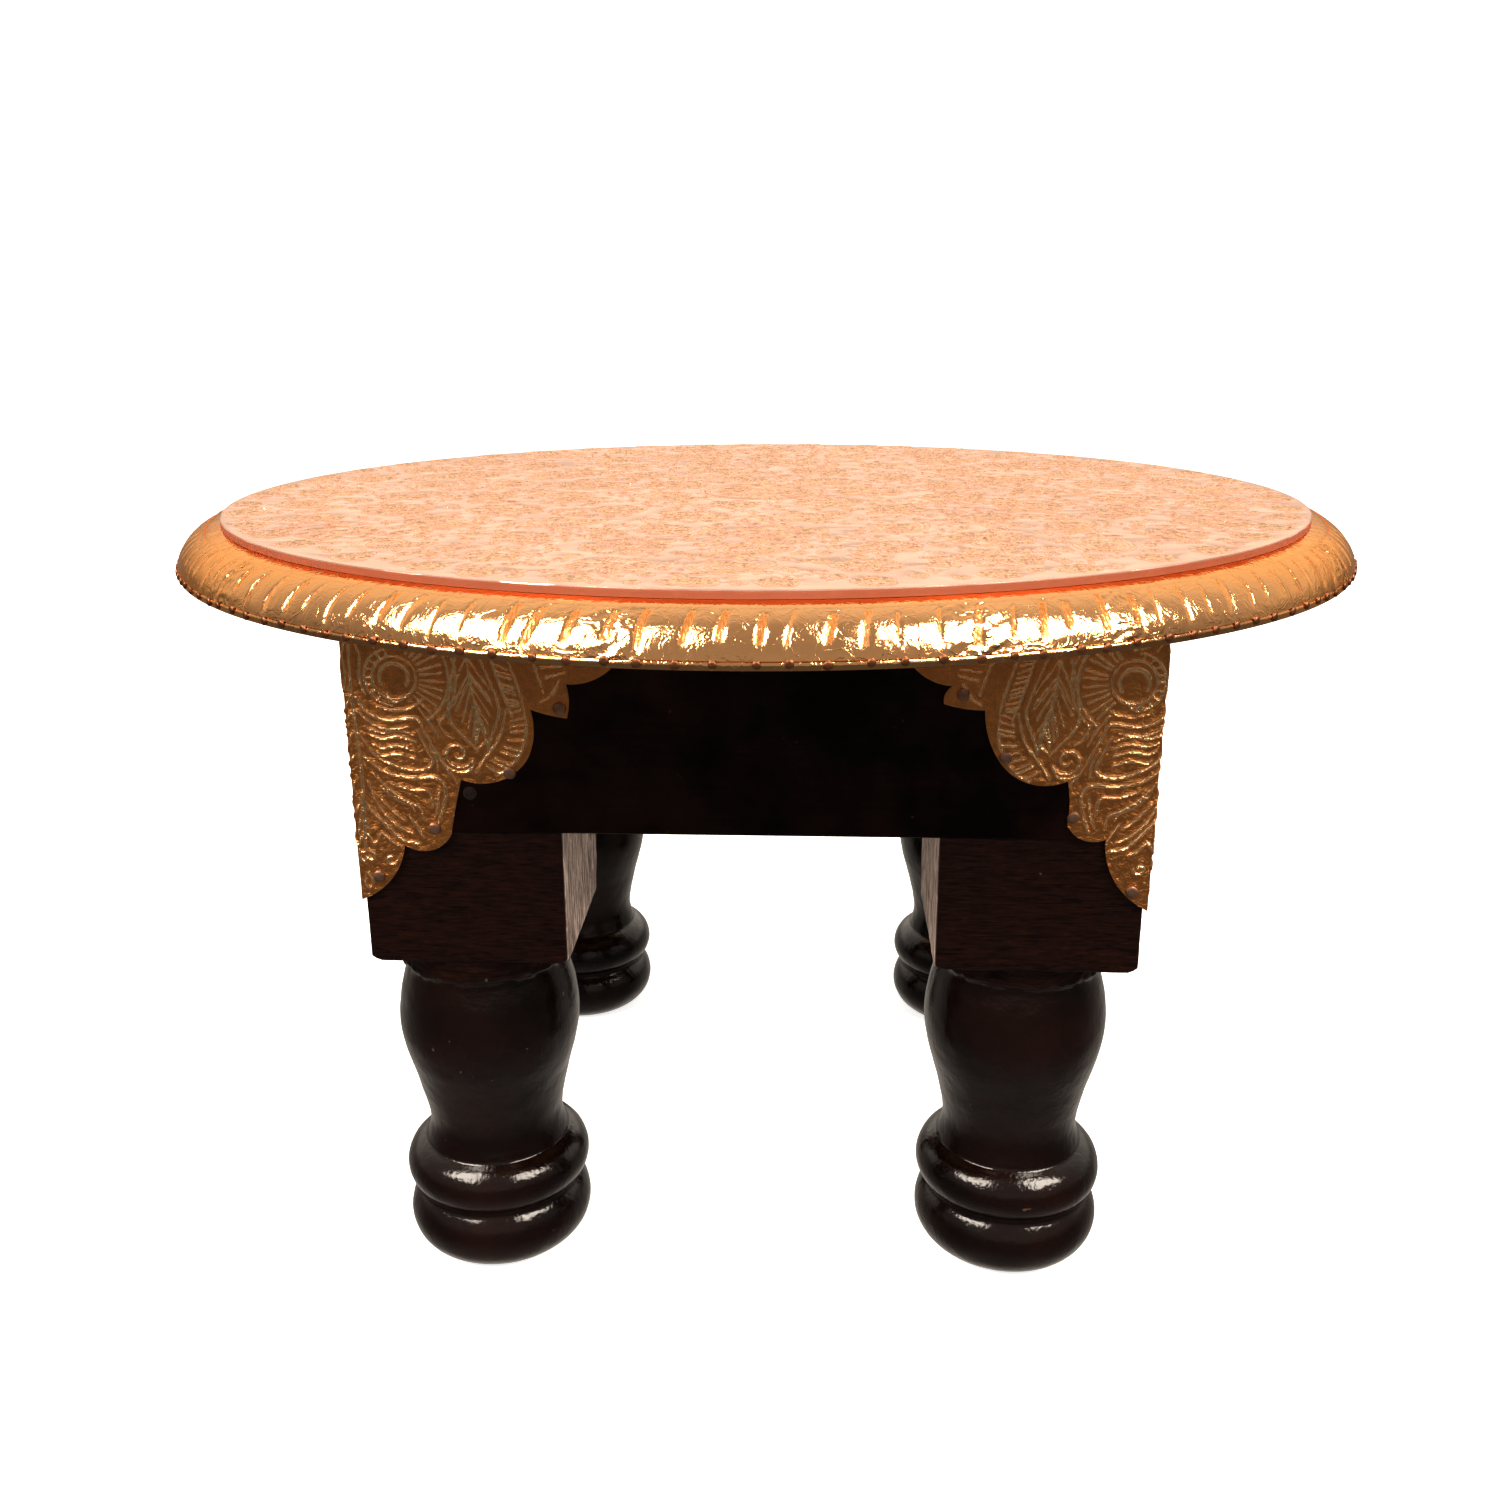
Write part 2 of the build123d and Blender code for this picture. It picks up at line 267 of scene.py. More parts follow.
class Nodes:
    """The node tree of a material or a world, with short calls for the nodes used here."""

    def __init__(self, owner, shader="Principled BSDF", place="Object"):
        owner.use_nodes = True
        self.owner = owner
        self.tree = owner.node_tree
        self.shader = self.tree.nodes[shader]
        self.place = self.tree.nodes.new("ShaderNodeTexCoord").outputs[place]

    def new(self, kind, **settings):
        node = self.tree.nodes.new(kind)
        for key, value in settings.items():
            setattr(node, key, value)
        return node

    def link(self, source, target):
        self.tree.links.new(source, target)

    def put(self, socket, value):
        if isinstance(value, bpy.types.NodeSocket):
            self.link(value, socket)
        else:
            socket.default_value = value

    def mapping(self, scale, rotation=(0, 0, 0)):
        node = self.new("ShaderNodeMapping")
        node.inputs["Scale"].default_value = scale
        node.inputs["Rotation"].default_value = rotation
        self.link(self.place, node.inputs["Vector"])
        return node.outputs["Vector"]

    def noise(self, scale, detail=3.0, roughness=0.55, vector=None, distortion=0.0):
        node = self.new("ShaderNodeTexNoise")
        node.inputs["Scale"].default_value = scale
        node.inputs["Detail"].default_value = detail
        node.inputs["Roughness"].default_value = roughness
        node.inputs["Distortion"].default_value = distortion
        self.link(vector or self.place, node.inputs["Vector"])
        return node.outputs["Fac"]

    def ramp(self, value, *stops):
        """Colour ramp; each stop is (position, colour or grey)."""
        node = self.new("ShaderNodeValToRGB")
        ramp = node.color_ramp
        while len(ramp.elements) < len(stops):
            ramp.elements.new(0.5)
        for element, (position, colour) in zip(ramp.elements, stops):
            element.position = position
            element.color = rgba(colour)
        self.link(value, node.inputs["Fac"])
        return node.outputs["Color"]

    def mix(self, factor, a, b, blend="MIX"):
        node = self.new("ShaderNodeMix", data_type="RGBA", blend_type=blend)
        self.put(node.inputs["Factor"], factor)
        for socket, value in ((node.inputs["A"], a), (node.inputs["B"], b)):
            self.put(socket, value if isinstance(value, bpy.types.NodeSocket) else rgba(value))
        return node.outputs["Result"]

    def fade(self, value, low, high, a, b):
        """From a to b as the value goes from low to high."""
        return self.mix(self.ramp(value, (low, 0.0), (high, 1.0)), a, b)

    def math(self, operation, a, b):
        node = self.new("ShaderNodeMath", operation=operation)
        self.put(node.inputs[0], a)
        self.put(node.inputs[1], b)
        return node.outputs[0]

    def attribute(self, name):
        return self.new("ShaderNodeAttribute", attribute_name=name).outputs["Fac"]

    def bump(self, height, distance_mm, strength=1.0, normal=None):
        node = self.new("ShaderNodeBump")
        node.inputs["Strength"].default_value = strength
        node.inputs["Distance"].default_value = distance_mm * MM
        self.link(height, node.inputs["Height"])
        if normal:
            self.link(normal, node.inputs["Normal"])
        return node.outputs["Normal"]

    def finish(self, colour, roughness, normal=None, **fixed):
        self.put(self.shader.inputs["Base Color"], colour)
        self.put(self.shader.inputs["Roughness"], roughness)
        if normal:
            self.link(normal, self.shader.inputs["Normal"])
        for key, value in fixed.items():
            self.shader.inputs[key.replace("_", " ")].default_value = value
        return self.owner


def new_material(name):
    return Nodes(bpy.data.materials.new(name))


def brass(
    name,
    ground,
    raised,
    grime_and_shade,
    edge,
    rough_ground,
    rough_raised,
    rough_spread=0.15,
    wrinkle=0.0,
    wrinkle_scale=260,
):
    """Thin sheet brass: one colour in the hollows, one on the raised work, grime with painted shade along the
    foot of each ridge, and scratches.

    The vertices' number "relief" tells how raised the sheet is.
    """
    n = new_material(name)
    relief = n.attribute("relief")
    blotch = n.noise(45, 4)
    fine = n.noise(900, 2)
    worn = n.fade(blotch, 0.35, 0.7, ground, tuple(0.82 * c for c in ground))
    colour = n.fade(relief, 0.12, 0.55, worn, raised)
    # Grime and painted shade darken the foot of each ridge.
    foot = n.math("MULTIPLY", n.ramp(relief, (0.0, 0.0), (0.1, 1.0), (0.34, 0.0)), 0.96)
    colour = n.mix(foot, colour, grime_and_shade)
    rough = n.fade(relief, 0.1, 0.6, rough_ground, rough_raised)
    rough = n.mix(n.math("MULTIPLY", fine, rough_spread), rough, 0.6)
    streaks = n.noise(1, 4, vector=n.mapping((350, 2600, 2600), (0.3, 0.2, 0.6)))
    cross = n.noise(1, 4, vector=n.mapping((2400, 300, 1800), (0.1, 0.5, 1.1)))
    normal = n.bump(n.math("ADD", streaks, cross), 0.012, 0.5)
    if wrinkle:
        creases = n.noise(wrinkle_scale, 3, 0.6, distortion=0.8)
        normal = n.bump(n.ramp(creases, (0.42, 0.0), (0.52, 1.0), (0.6, 0.15)), wrinkle, 0.6, normal)
    # The foot's grime and painted shade are matt, and the edge tint keeps grazing reflections golden.
    n.put(n.shader.inputs["Metallic"], n.math("SUBTRACT", 1.0, foot))
    return n.finish(colour, rough, normal, Specular_Tint=(*edge, 1), Specular_IOR_Level=0.0)


def lacquered_wood(name, grain_axis):
    """Near-black brown lacquer over wood, its grain running along one axis."""
    n = new_material(name)
    scale = [900.0, 900.0, 900.0]
    scale[grain_axis] = 26.0
    grain = n.noise(1, 5, 0.6, vector=n.mapping(tuple(scale)), distortion=0.4)
    broad = n.noise(38, 4, 0.6)
    peel = n.noise(1300, 2, 0.5)
    brown = n.fade(broad, 0.42, 0.75, (0.0012, 0.0004, 0.0003), (0.013, 0.002, 0.0012))
    colour = n.mix(n.ramp(grain, (0.4, 0.0), (0.75, 0.55)), brown, (0.001, 0.0005, 0.0004))
    specks = n.ramp(n.noise(520, 1), (0.79, 0.0), (0.81, 1.0))
    colour = n.mix(n.math("MULTIPLY", specks, 0.2), colour, (0.10, 0.035, 0.02))
    rough = n.fade(broad, 0.3, 0.75, 0.3, 0.44)
    normal = n.bump(grain, 0.05, 0.6)
    normal = n.bump(peel, 0.05, 0.5, normal)
    normal = n.bump(n.noise(160, 3), 0.25, 0.45, normal)
    return n.finish(
        colour, rough, normal, Specular_IOR_Level=0.08, Coat_Weight=0.05, Coat_Roughness=0.12
    )


def leg_wood():
    """The legs' lacquer: glossy where turned, dull and combed on the block, bare on its inner faces."""
    n = new_material("leg_lacquer")
    turned = n.attribute("turned")
    raw = n.attribute("raw")
    broad = n.noise(34, 4, 0.6)
    grain = n.noise(1, 5, 0.6, vector=n.mapping((800, 800, 24)), distortion=0.3)
    combed = n.noise(1, 4, 0.65, vector=n.mapping((190, 190, 2500), (0.10, 0.08, 0)), distortion=0.8)
    peel = n.noise(1100, 2, 0.5)
    dark = n.fade(broad, 0.35, 0.75, (0.002, 0.0007, 0.0005), (0.0115, 0.0027, 0.0018))
    block = n.fade(combed, 0.35, 0.7, (0.002, 0.0006, 0.0004), (0.024, 0.0055, 0.003))
    colour = n.mix(turned, block, dark)
    fibre = n.noise(1, 6, 0.75, vector=n.mapping((420, 420, 55)), distortion=2.2)
    bare = (0.34, (0.012, 0.008, 0.006)), (0.50, (0.31, 0.24, 0.21)), (0.70, (0.96, 0.83, 0.77))
    bare = n.ramp(fibre, *bare)
    colour = n.mix(raw, colour, bare)
    specks = n.ramp(n.noise(430, 1), (0.78, 0.0), (0.80, 1.0))
    colour = n.mix(n.math("MULTIPLY", specks, 0.3), colour, (0.20, 0.11, 0.08))
    gloss = n.fade(broad, 0.3, 0.75, 0.15, 0.24)
    rough = n.mix(turned, 0.5, gloss)
    rough = n.mix(raw, rough, 0.75)
    block_height = n.mix(turned, combed, grain)
    normal = n.bump(block_height, 0.10, 0.55)
    normal = n.bump(peel, 0.11, 0.6, normal)
    normal = n.bump(n.noise(230, 3, 0.6), 0.36, 0.5, normal)
    normal = n.bump(n.math("MULTIPLY", fibre, raw), 0.8, 0.6, normal)
    n.link(turned, n.shader.inputs["Coat Weight"])
    n.link(normal, n.shader.inputs["Coat Normal"])
    return n.finish(colour, rough, normal, Coat_Roughness=0.12, Specular_IOR_Level=0.11)


def bare_wood():
    """Unfinished underside of the disc, stained by handling."""
    n = new_material("bare_wood")
    rings = n.noise(1, 5, 0.6, vector=n.mapping((14, 320, 320)), distortion=0.9)
    tones = (0.3, (0.16, 0.085, 0.042)), (0.55, (0.30, 0.18, 0.095)), (0.75, (0.38, 0.25, 0.14))
    colour = n.ramp(rings, *tones)
    stain = n.ramp(n.noise(16, 4), (0.45, 0.0), (0.7, 1.0))
    colour = n.mix(n.math("MULTIPLY", stain, 0.6), colour, (0.07, 0.035, 0.02))
    normal = n.bump(rings, 0.25, 0.6)
    return n.finish(colour, n.ramp(rings, (0.3, 0.72), (0.8, 0.58)), normal)


def nail_metal(name, tint, roughness):
    n = new_material(name)
    spots = n.noise(700, 3)
    colour = n.fade(spots, 0.35, 0.7, tint, tuple(0.55 * c for c in tint))
    rough = n.mix(spots, roughness, roughness + 0.3)
    normal = n.bump(n.noise(1800, 2), 0.06, 0.6)
    return n.finish(colour, rough, normal, Metallic=1.0)


top_brass = brass(
    "top_brass",
    ground=(0.98, 0.69, 0.585),
    raised=(0.99, 0.63, 0.40),
    grime_and_shade=(0.24, 0.045, 0.008),
    edge=(1.0, 0.9, 0.8),
    rough_ground=0.24,
    rough_raised=0.19,
    rough_spread=0.12,
)
rim_brass = brass(
    "rim_brass",
    ground=(0.97, 0.49, 0.20),
    raised=(0.98, 0.56, 0.27),
    grime_and_shade=(0.22, 0.08, 0.018),
    edge=(1.0, 0.70, 0.45),
    rough_ground=0.12,
    rough_raised=0.1,
    rough_spread=0.08,
    wrinkle=0.07,
)
plate_brass = brass(
    "plate_brass",
    ground=(0.76, 0.34, 0.115),
    # raised: much paler than the ground, a painted highlight on the raised lines
    raised=(1.0, 0.68, 0.38),
    grime_and_shade=(0.035, 0.011, 0.003),
    edge=(1.0, 0.72, 0.46),
    rough_ground=0.36,
    rough_raised=0.22,
    wrinkle=0.12,
    wrinkle_scale=600,
)
rim_nail_metal = nail_metal("rim_nail_metal", (0.30, 0.14, 0.07), 0.36)
plate_nail_metal = nail_metal("plate_nail_metal", (0.50, 0.31, 0.22), 0.36)
steel = nail_metal("dark_steel", (0.10, 0.075, 0.065), 0.5)
rail_wood_x = lacquered_wood("rail_lacquer_x", 0)
rail_wood_y = lacquered_wood("rail_lacquer_y", 1)
leg_lacquer = leg_wood()
underside = bare_wood()

# --- CAD nodes that keep their own shape ---
kept = {
    "tray_core": underside,
    "front_rail": rail_wood_x,
    "back_rail": rail_wood_x,
    "left_rail": rail_wood_y,
    "right_rail": rail_wood_y,
    "rail_nails": steel,
    "top_screws": steel,
}
for node, material in kept.items():
    node_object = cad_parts[node]
    for material_slot in node_object.material_slots:
        material_slot.material = material

# --- Brass top ---
sheet = 0.5                  # thickness of the brass
emboss = 0.42                # height of the raised work
ground_height = top_height - emboss


def flower(relief, centre, radius, turn, petals):
    """Round blossom: an eye, a ring and looped petals, each with a vein and a dot beside its tip."""
    relief.dot(centre, 0.12 * radius, emboss)
    relief.stroke(arc(centre, 0.28 * radius, 0, 360, 18), 0.6, 0.4)
    for k in range(petals):
        angle = turn + 2 * math.pi * k / petals
        along = np.array([math.cos(angle), math.sin(angle)])
        across = np.array([-along[1], along[0]])
        width = 0.72 * math.sin(math.pi / petals) * radius

        def at(reach, side):
            return np.array(centre) + along * reach * radius + across * side * width

        loop = [(0.42, 0.2), (0.66, 0.9), (0.9, 0.7), (1.0, 0), (0.9, -0.7), (0.66, -0.9)]
        relief.stroke(flow([at(*place) for place in loop], 3), 0.62, 0.4, 0.25)
        if k % 2 == 0:
            relief.stroke([at(0.5, 0), at(0.82, 0)], 0.55, 0.34)


def sprig(relief, start, heading, length, bend, leaves):
    """Curved stem with comma-shaped leaves on both sides and a curl at its end."""
    steps = 12
    spot = np.array(start, float)
    stem = [spot.copy()]
    angle = heading
    for _ in range(steps):
        angle += bend / steps
        spot = spot + length / steps * np.array([math.cos(angle), math.sin(angle)])
        stem.append(spot.copy())
    relief.stroke(stem, 0.6, 0.4, 0.3)
    for k in range(leaves):
        i = 3 + int(k * (steps - 4) / max(leaves - 1, 1))
        way = stem[i] - stem[i - 1]
        base = math.atan2(way[1], way[0])
        for side in (-1, 1):
            lean = base + side * 0.9
            foot = stem[i] + 0.9 * np.array([math.cos(lean), math.sin(lean)])
            tip = stem[i] + 4.2 * np.array([math.cos(lean), math.sin(lean)])
            middle = (foot + tip) / 2 + 0.8 * np.array([-math.sin(lean), math.cos(lean)]) * side
            relief.stroke(flow([foot, middle, tip], 3), 0.78, 0.42, 0.5)
    relief.stroke(spiral(stem[-1], 2.6, math.degrees(angle), 0.9, 12), 0.6, 0.38)


def paisley(relief, centre, size, turn):
    """Curled drop: a double outline, short lines inside and dots round it."""
    outline = np.array([(0, -1), (0.62, -0.75), (0.8, -0.1), (0.45, 0.55), (-0.2, 1.05), (-0.55, 1.0)])
    other = np.array([(-0.55, 1.0), (-0.25, 0.55), (-0.6, 0.0), (-0.7, -0.5), (0, -1)])
    c, s = math.cos(turn), math.sin(turn)
    spin = np.array([[c, s], [-s, c]])

    def put(points, scale):
        return np.asarray(points) * scale @ spin + centre

    for scale in (size, 0.6 * size):
        relief.stroke(put(flow(outline, 4), scale), 0.62, 0.42)
        relief.stroke(put(flow(other, 4), scale), 0.62, 0.42)
    for k in range(3):
        level = -0.5 + 0.4 * k
        relief.stroke(put([(-0.3, level), (0.3, level + 0.2)], 0.6 * size), 0.5, 0.34)
    for k in range(9):
        angle = 2 * math.pi * k / 9
        relief.dot(put([(1.15 * math.cos(angle), 1.25 * math.sin(angle))], size)[0], 0.7, 0.38)


def filler(relief, spot, draw):
    """Small mark for a gap: a comma, a ring, a short arc with a dot, or three dots."""
    kind = int(draw.integers(0, 4))
    angle = draw.uniform(0, 360)
    if kind == 0:
        relief.stroke(arc(spot, 1.8, angle, angle + 150, 8), 0.75, 0.4, 0.5)
    elif kind == 1:
        relief.stroke(arc(spot, 1.2, 0, 360, 10), 0.55, 0.36)
    elif kind == 2:
        relief.stroke(arc(spot, 2.1, angle, angle + 110, 7), 0.62, 0.38)
        relief.dot(spot, 0.7, 0.36)
    else:
        for k in range(3):
            relief.dot(polar(spot, 1.5, math.radians(angle + 120 * k)), 0.75, 0.36)


def top_relief():
    """All-over pattern: a rosette in the middle, rings of blossoms and drops, sprigs and small marks."""
    reach = plateau_radius + 2
    relief = Relief((-reach, -reach), (reach, reach), 0.35)
    draw = np.random.default_rng(11)
    flower(relief, (0, 0), 13.0, 0.2, 12)
    for radius in (15.5, 17.0):
        relief.stroke(arc((0, 0), radius, 0, 360, 60), 0.5, 0.3)
    for ring, (radius, count) in enumerate([(29, 7), (52, 12), (75, 17), (98, 22), (120, 28), (136, 44)]):
        for k in range(count):
            angle = 2 * math.pi * (k + 0.5 * (ring % 2)) / count + draw.uniform(-0.03, 0.03)
            out = radius + draw.uniform(-1.3, 1.3)
            spot = np.array(polar((0, 0), out, angle))
            kind = (k + ring) % 3
            if radius > 130:
                flower(relief, spot, 4.0, draw.uniform(0, 1), 5)
                continue
            if kind == 0:
                flower(relief, spot, draw.uniform(8.6, 9.8), draw.uniform(0, 1), int(draw.integers(7, 10)))
            elif kind == 1:
                paisley(relief, spot, draw.uniform(7.6, 8.8), angle + draw.uniform(-0.6, 0.6))
            else:
                flower(relief, spot, draw.uniform(6.4, 7.4), draw.uniform(0, 1), 6)
            between = angle + math.pi / count
            start = (out + draw.choice([-6, 6])) * np.array([math.cos(between), math.sin(between)])
            heading = between + draw.uniform(0, 6.28)
            sprig(relief, start, heading, draw.uniform(10, 15), draw.uniform(-2.4, 2.4), 2)
    # Small marks wherever a gap is left.
    for _ in range(5200):
        r = (plateau_radius - 4) * math.sqrt(draw.uniform())
        a = draw.uniform(0, 2 * math.pi)
        spot = np.array(polar((0, 0), r, a))
        around = spot + 2.7 * np.array([[math.cos(t), math.sin(t)] for t in np.linspace(0, 6.28, 9)[:-1]])
        if relief.sample(around[:, 0], around[:, 1]).max() < 0.04 and relief.sample(*spot[:, None])[0] < 0.04:
            filler(relief, spot, draw)
    return relief


def disc_points(count):
    """Square grid of points mapped evenly onto a disc of radius 1."""
    a, b = np.meshgrid(np.linspace(-1, 1, count), np.linspace(-1, 1, count))
    wide = np.abs(a) > np.abs(b)
    safe_a = np.where(np.abs(a) < 1e-9, 1e-9, a)
    safe_b = np.where(np.abs(b) < 1e-9, 1e-9, b)
    radius = np.where(wide, a, b)
    angle = np.where(wide, math.pi / 4 * b / safe_a, math.pi / 2 - math.pi / 4 * a / safe_b)
    return radius * np.cos(angle), radius * np.sin(angle)


def disc_border(count):
    """Indices of the grid's outer points, in order round the disc."""
    last = count - 1
    right = [i * count + last for i in range(count)]
    top = [last * count + j for j in range(last - 1, -1, -1)]
    left = [i * count for i in range(last - 1, -1, -1)]
    bottom = list(range(1, last))
    return right + top + left + bottom


def make_top():
    """Embossed sheet with its edge rolled over and turned down round the raised middle."""
    relief = top_relief()
    count = 520
    x, y = disc_points(count)
    flat_radius = plateau_radius - 0.5
    x = x.ravel() * flat_radius
    y = y.ravel() * flat_radius
    out = np.hypot(x, y)
    raised = relief.sample(x, y) * ease(flat_radius, flat_radius - 2.5, out)
    sway = 0.05 * noise2(x + 500, y + 500, 14, 3)
    z = ground_height + np.minimum(raised, emboss) + np.minimum(sway, 0.0) * (raised < 0.05)
    verts = np.stack([x, y, z], 1)
    faces = [grid_faces(count, count)]
    # The rolled edge and the wall below it, ring by ring outside the border.
    border = disc_border(count)
    angles = np.arctan2(y[border], x[border])
    wall = [(flat_radius + 0.36, ground_height - 0.12), (plateau_radius, ground_height - 0.5)]
    wall += [(plateau_radius - 0.03, level) for level in np.linspace(ground_height - 0.9, ledge_height, 5)]
    wall += [(plateau_radius - sheet, ledge_height), (plateau_radius - sheet, top_height - sheet - 0.1)]
    previous = np.array(border)
    total = len(verts)
    pleat = noise2(angles * plateau_radius + 500, 0, 2.2, 21)
    for k, (radius, level) in enumerate(wall):
        depth = 0.09 * np.minimum(pleat, 0) * (1 <= k <= 6)
        ring = np.stack([(radius + depth) * np.cos(angles), (radius + depth) * np.sin(angles)], 1)
        verts = np.vstack([verts, np.column_stack([ring, np.full(len(ring), level)])])
        current = total + np.arange(len(ring))
        total += len(ring)
        faces.append(np.stack([previous, current, np.roll(current, -1), np.roll(previous, -1)], 1))
        previous = current
    piece = make_piece("embossed_top", verts, np.vstack(faces), top_brass, ("top_sheet",))
    thin_out(piece, 190000)
    shade_smooth(piece, 50)
    for vertex in piece.data.vertices:
        vertex.co.z = min(vertex.co.z, top_height * MM)
    p = points_mm(piece)
    inside = np.hypot(p[:, 0], p[:, 1]) < flat_radius - 0.5
    # The wall below the rolled edge gets a low relief value, so it is painted dark with the foot's painted
    # shade.
    wall_shade = 0.12 * (p[:, 2] < ground_height - 0.3)
    store(piece, "relief", np.where(inside, relief.sample(p[:, 0], p[:, 1]) / emboss, wall_shade))


make_top()

# --- Brass strip round the edge ---


def circle_through(a, b, c):
    """Centre and radius of the circle through three points."""
    ax, ay, bx, by, cx, cy = *a, *b, *c
    d = 2 * (ax * (by - cy) + bx * (cy - ay) + cx * (ay - by))
    ux = ((ax**2 + ay**2) * (by - cy) + (bx**2 + by**2) * (cy - ay) + (cx**2 + cy**2) * (ay - by)) / d
    uy = ((ax**2 + ay**2) * (cx - bx) + (bx**2 + by**2) * (ax - cx) + (cx**2 + cy**2) * (bx - ax)) / d
    return ux, uy, math.hypot(ax - ux, ay - uy)


def rim_section():
    """Points (radius, height) along the strip, the way out at each, and the share of the round edge."""
    cx, cz, radius = circle_through(shoulder, edge_middle, (rim_radius, lip_top))
    first = math.atan2(shoulder[1] - cz, shoulder[0] - cx)
    last = math.atan2(lip_top - cz, rim_radius - cx)
    points, outward, share = [], [], []

    def add(point, way, part):
        points.append(point)
        outward.append(way)
        share.append(part)

    add((plateau_radius - sheet, ledge_height - sheet), (0, 0), -1)
    add((plateau_radius - sheet, ledge_height), (0, 0), -1)
    for t in (0.15, 0.5, 0.85):
        radius_here = plateau_radius + t * (shoulder[0] - plateau_radius)
        add((radius_here, ledge_height - t * (ledge_height - shoulder[1])), (0, 1), -0.5)
    add((shoulder[0] - 0.1, shoulder[1] - 0.22), (0, 1), -0.2)
    rings = 22
    for k in range(rings + 1):
        angle = first + (last - first) * k / rings
        way = (math.cos(angle), math.sin(angle))
        add((cx + radius * way[0], cz + radius * way[1]), way, k / rings)
    add((rim_radius - 0.34, lip_top - 0.25), (1, 0), 1.1)
    for level in np.linspace(lip_top - 0.6, rim_bottom + 0.1, 4):
        add((rim_radius - 0.02, level), (1, 0), 1.5)
    add((rim_radius - 0.25, rim_bottom), (0, 0), 2)
    for reach in (0.25, 0.6, 1.0):
        add((rim_radius - reach * (rim_radius - strip_inner_radius), rim_bottom), (0, 0), 2)
    add((strip_inner_radius, disc_bottom), (0, 0), 2)
    return np.array(points), np.array(outward), np.array(share)


crease_zones = [-151, -118, -83, -47, -8.5, 17.3, 29.5, 61, 96, 131, 166]


def crumple(angle_deg):
    """How crumpled the strip is at an angle, 0 to 1: a few overlaps and bunched places."""
    amount = np.zeros_like(angle_deg)
    for zone in crease_zones:
        away = (angle_deg - zone + 180) % 360 - 180
        amount = np.maximum(amount, np.exp(-((away / 2.1) ** 2)))
    return amount


def make_rim():
    """Thin strip pressed over the moulded edge, with a pressed groove above each nail."""
    points, outward, share = rim_section()
    columns = 2240
    angle = np.linspace(-180, 180, columns, endpoint=False)
    length = np.radians(angle + 180) * rim_radius
    along = length[None, :]
    spot = share[:, None] * round_width
    swell = 0.09 * noise2(along, spot + 40, 9.0, 31) + 0.025 * noise2(along, spot + 90, 3.6, 32)
    seam = ease(0, 18, length) * ease(length.max(), length.max() - 18, length)
    # Pressed grooves: one above each nail, some doubled, each a little out of line.
    step = 360 / rim_nail_count
    grooves = np.zeros((len(points), columns))
    press = np.random.default_rng(5)
    for k in range(rim_nail_count):
        centre = -180 + (k + press.uniform(0.3, 0.7)) * step
        depth = press.uniform(0.24, 0.42)
        top, bottom = press.uniform(-0.04, 0.12), press.uniform(0.62, 0.86)
        slant = -0.75 + press.uniform(-0.35, 0.35)
        for shift, weight in ((0.0, 1.0), (0.34, 0.8 if press.uniform() < 0.4 else 0.0)):
            bow = 0.6 * (share[:, None] - 0.45) ** 2
            away = (angle[None, :] - centre - shift - slant * (share[:, None] - 0.45) - bow) / 0.14
            held = ease(top - 0.06, top + 0.1, share) * (1 - ease(bottom - 0.12, bottom + 0.14, share))
            grooves += weight * depth * held[:, None] * np.exp(-(away**2)) * (np.abs(away) < 4)
        bulge = np.exp(-(((angle - centre - step / 2) / (0.45 * step)) ** 2))
        swell += 0.07 * bulge[None, :] * (ease(0.1, 0.4, share) * ease(1.0, 0.7, share))[:, None]
    # Bunched and overlapping places, folded on the slant.
    bunched = crumple(angle)[None, :]
    folds = np.abs(noise2(along + 2.2 * spot, spot * 0.9 + 7, 1.7, 41)) - 0.35
    folds += 0.6 * (np.abs(noise2(along - 1.3 * spot, spot * 1.4 + 70, 1.1, 42)) - 0.35)
    rough_zone = bunched * ease(-0.6, 0.2, share)[:, None] * ease(1.6, 1.1, share)[:, None]
    crinkle = 0.008 * noise2(along, spot * 2 + 13, 1.3, 43)
    toe = 0.10 * np.abs(noise2(along, 3, 1.3, 44)) * ease(0.7, 1.0, share)[:, None]
    offset = (swell - toe * ease(1.2, 1.0, share)[:, None]) * seam - grooves
    offset += 0.42 * folds * rough_zone + crinkle
    offset *= (share > -0.9)[:, None] * np.where(share < 0, 0.35, 1.0)[:, None]
    offset *= ease(1.45, 1.0, share)[:, None] * 0.85 + 0.15
    offset = np.minimum(offset, 0.30 * (share < 1.05)[:, None])
    radius = points[:, :1] + outward[:, :1] * offset
    height = points[:, 1:] + outward[:, 1:] * offset
    radius = np.minimum(radius, rim_radius + 0.25)
    theta = np.radians(angle)[None, :]
    height = np.broadcast_to(height, radius.shape)
    verts = np.stack([radius * np.sin(theta), -radius * np.cos(theta), height], -1)
    faces = grid_faces(len(points), columns, close_columns=True)
    piece = make_piece("rim_strip", verts.reshape(-1, 3), faces, rim_brass, ("rim_sheet",))
    shade_smooth(piece, 55)
    # The grooves are stored lower in relief, so the grime and painted shade at the ridges' feet darken them.
    store(piece, "relief", (0.6 + offset - 0.3 * (grooves > 0.08)).ravel())


make_rim()

# --- Legs ---


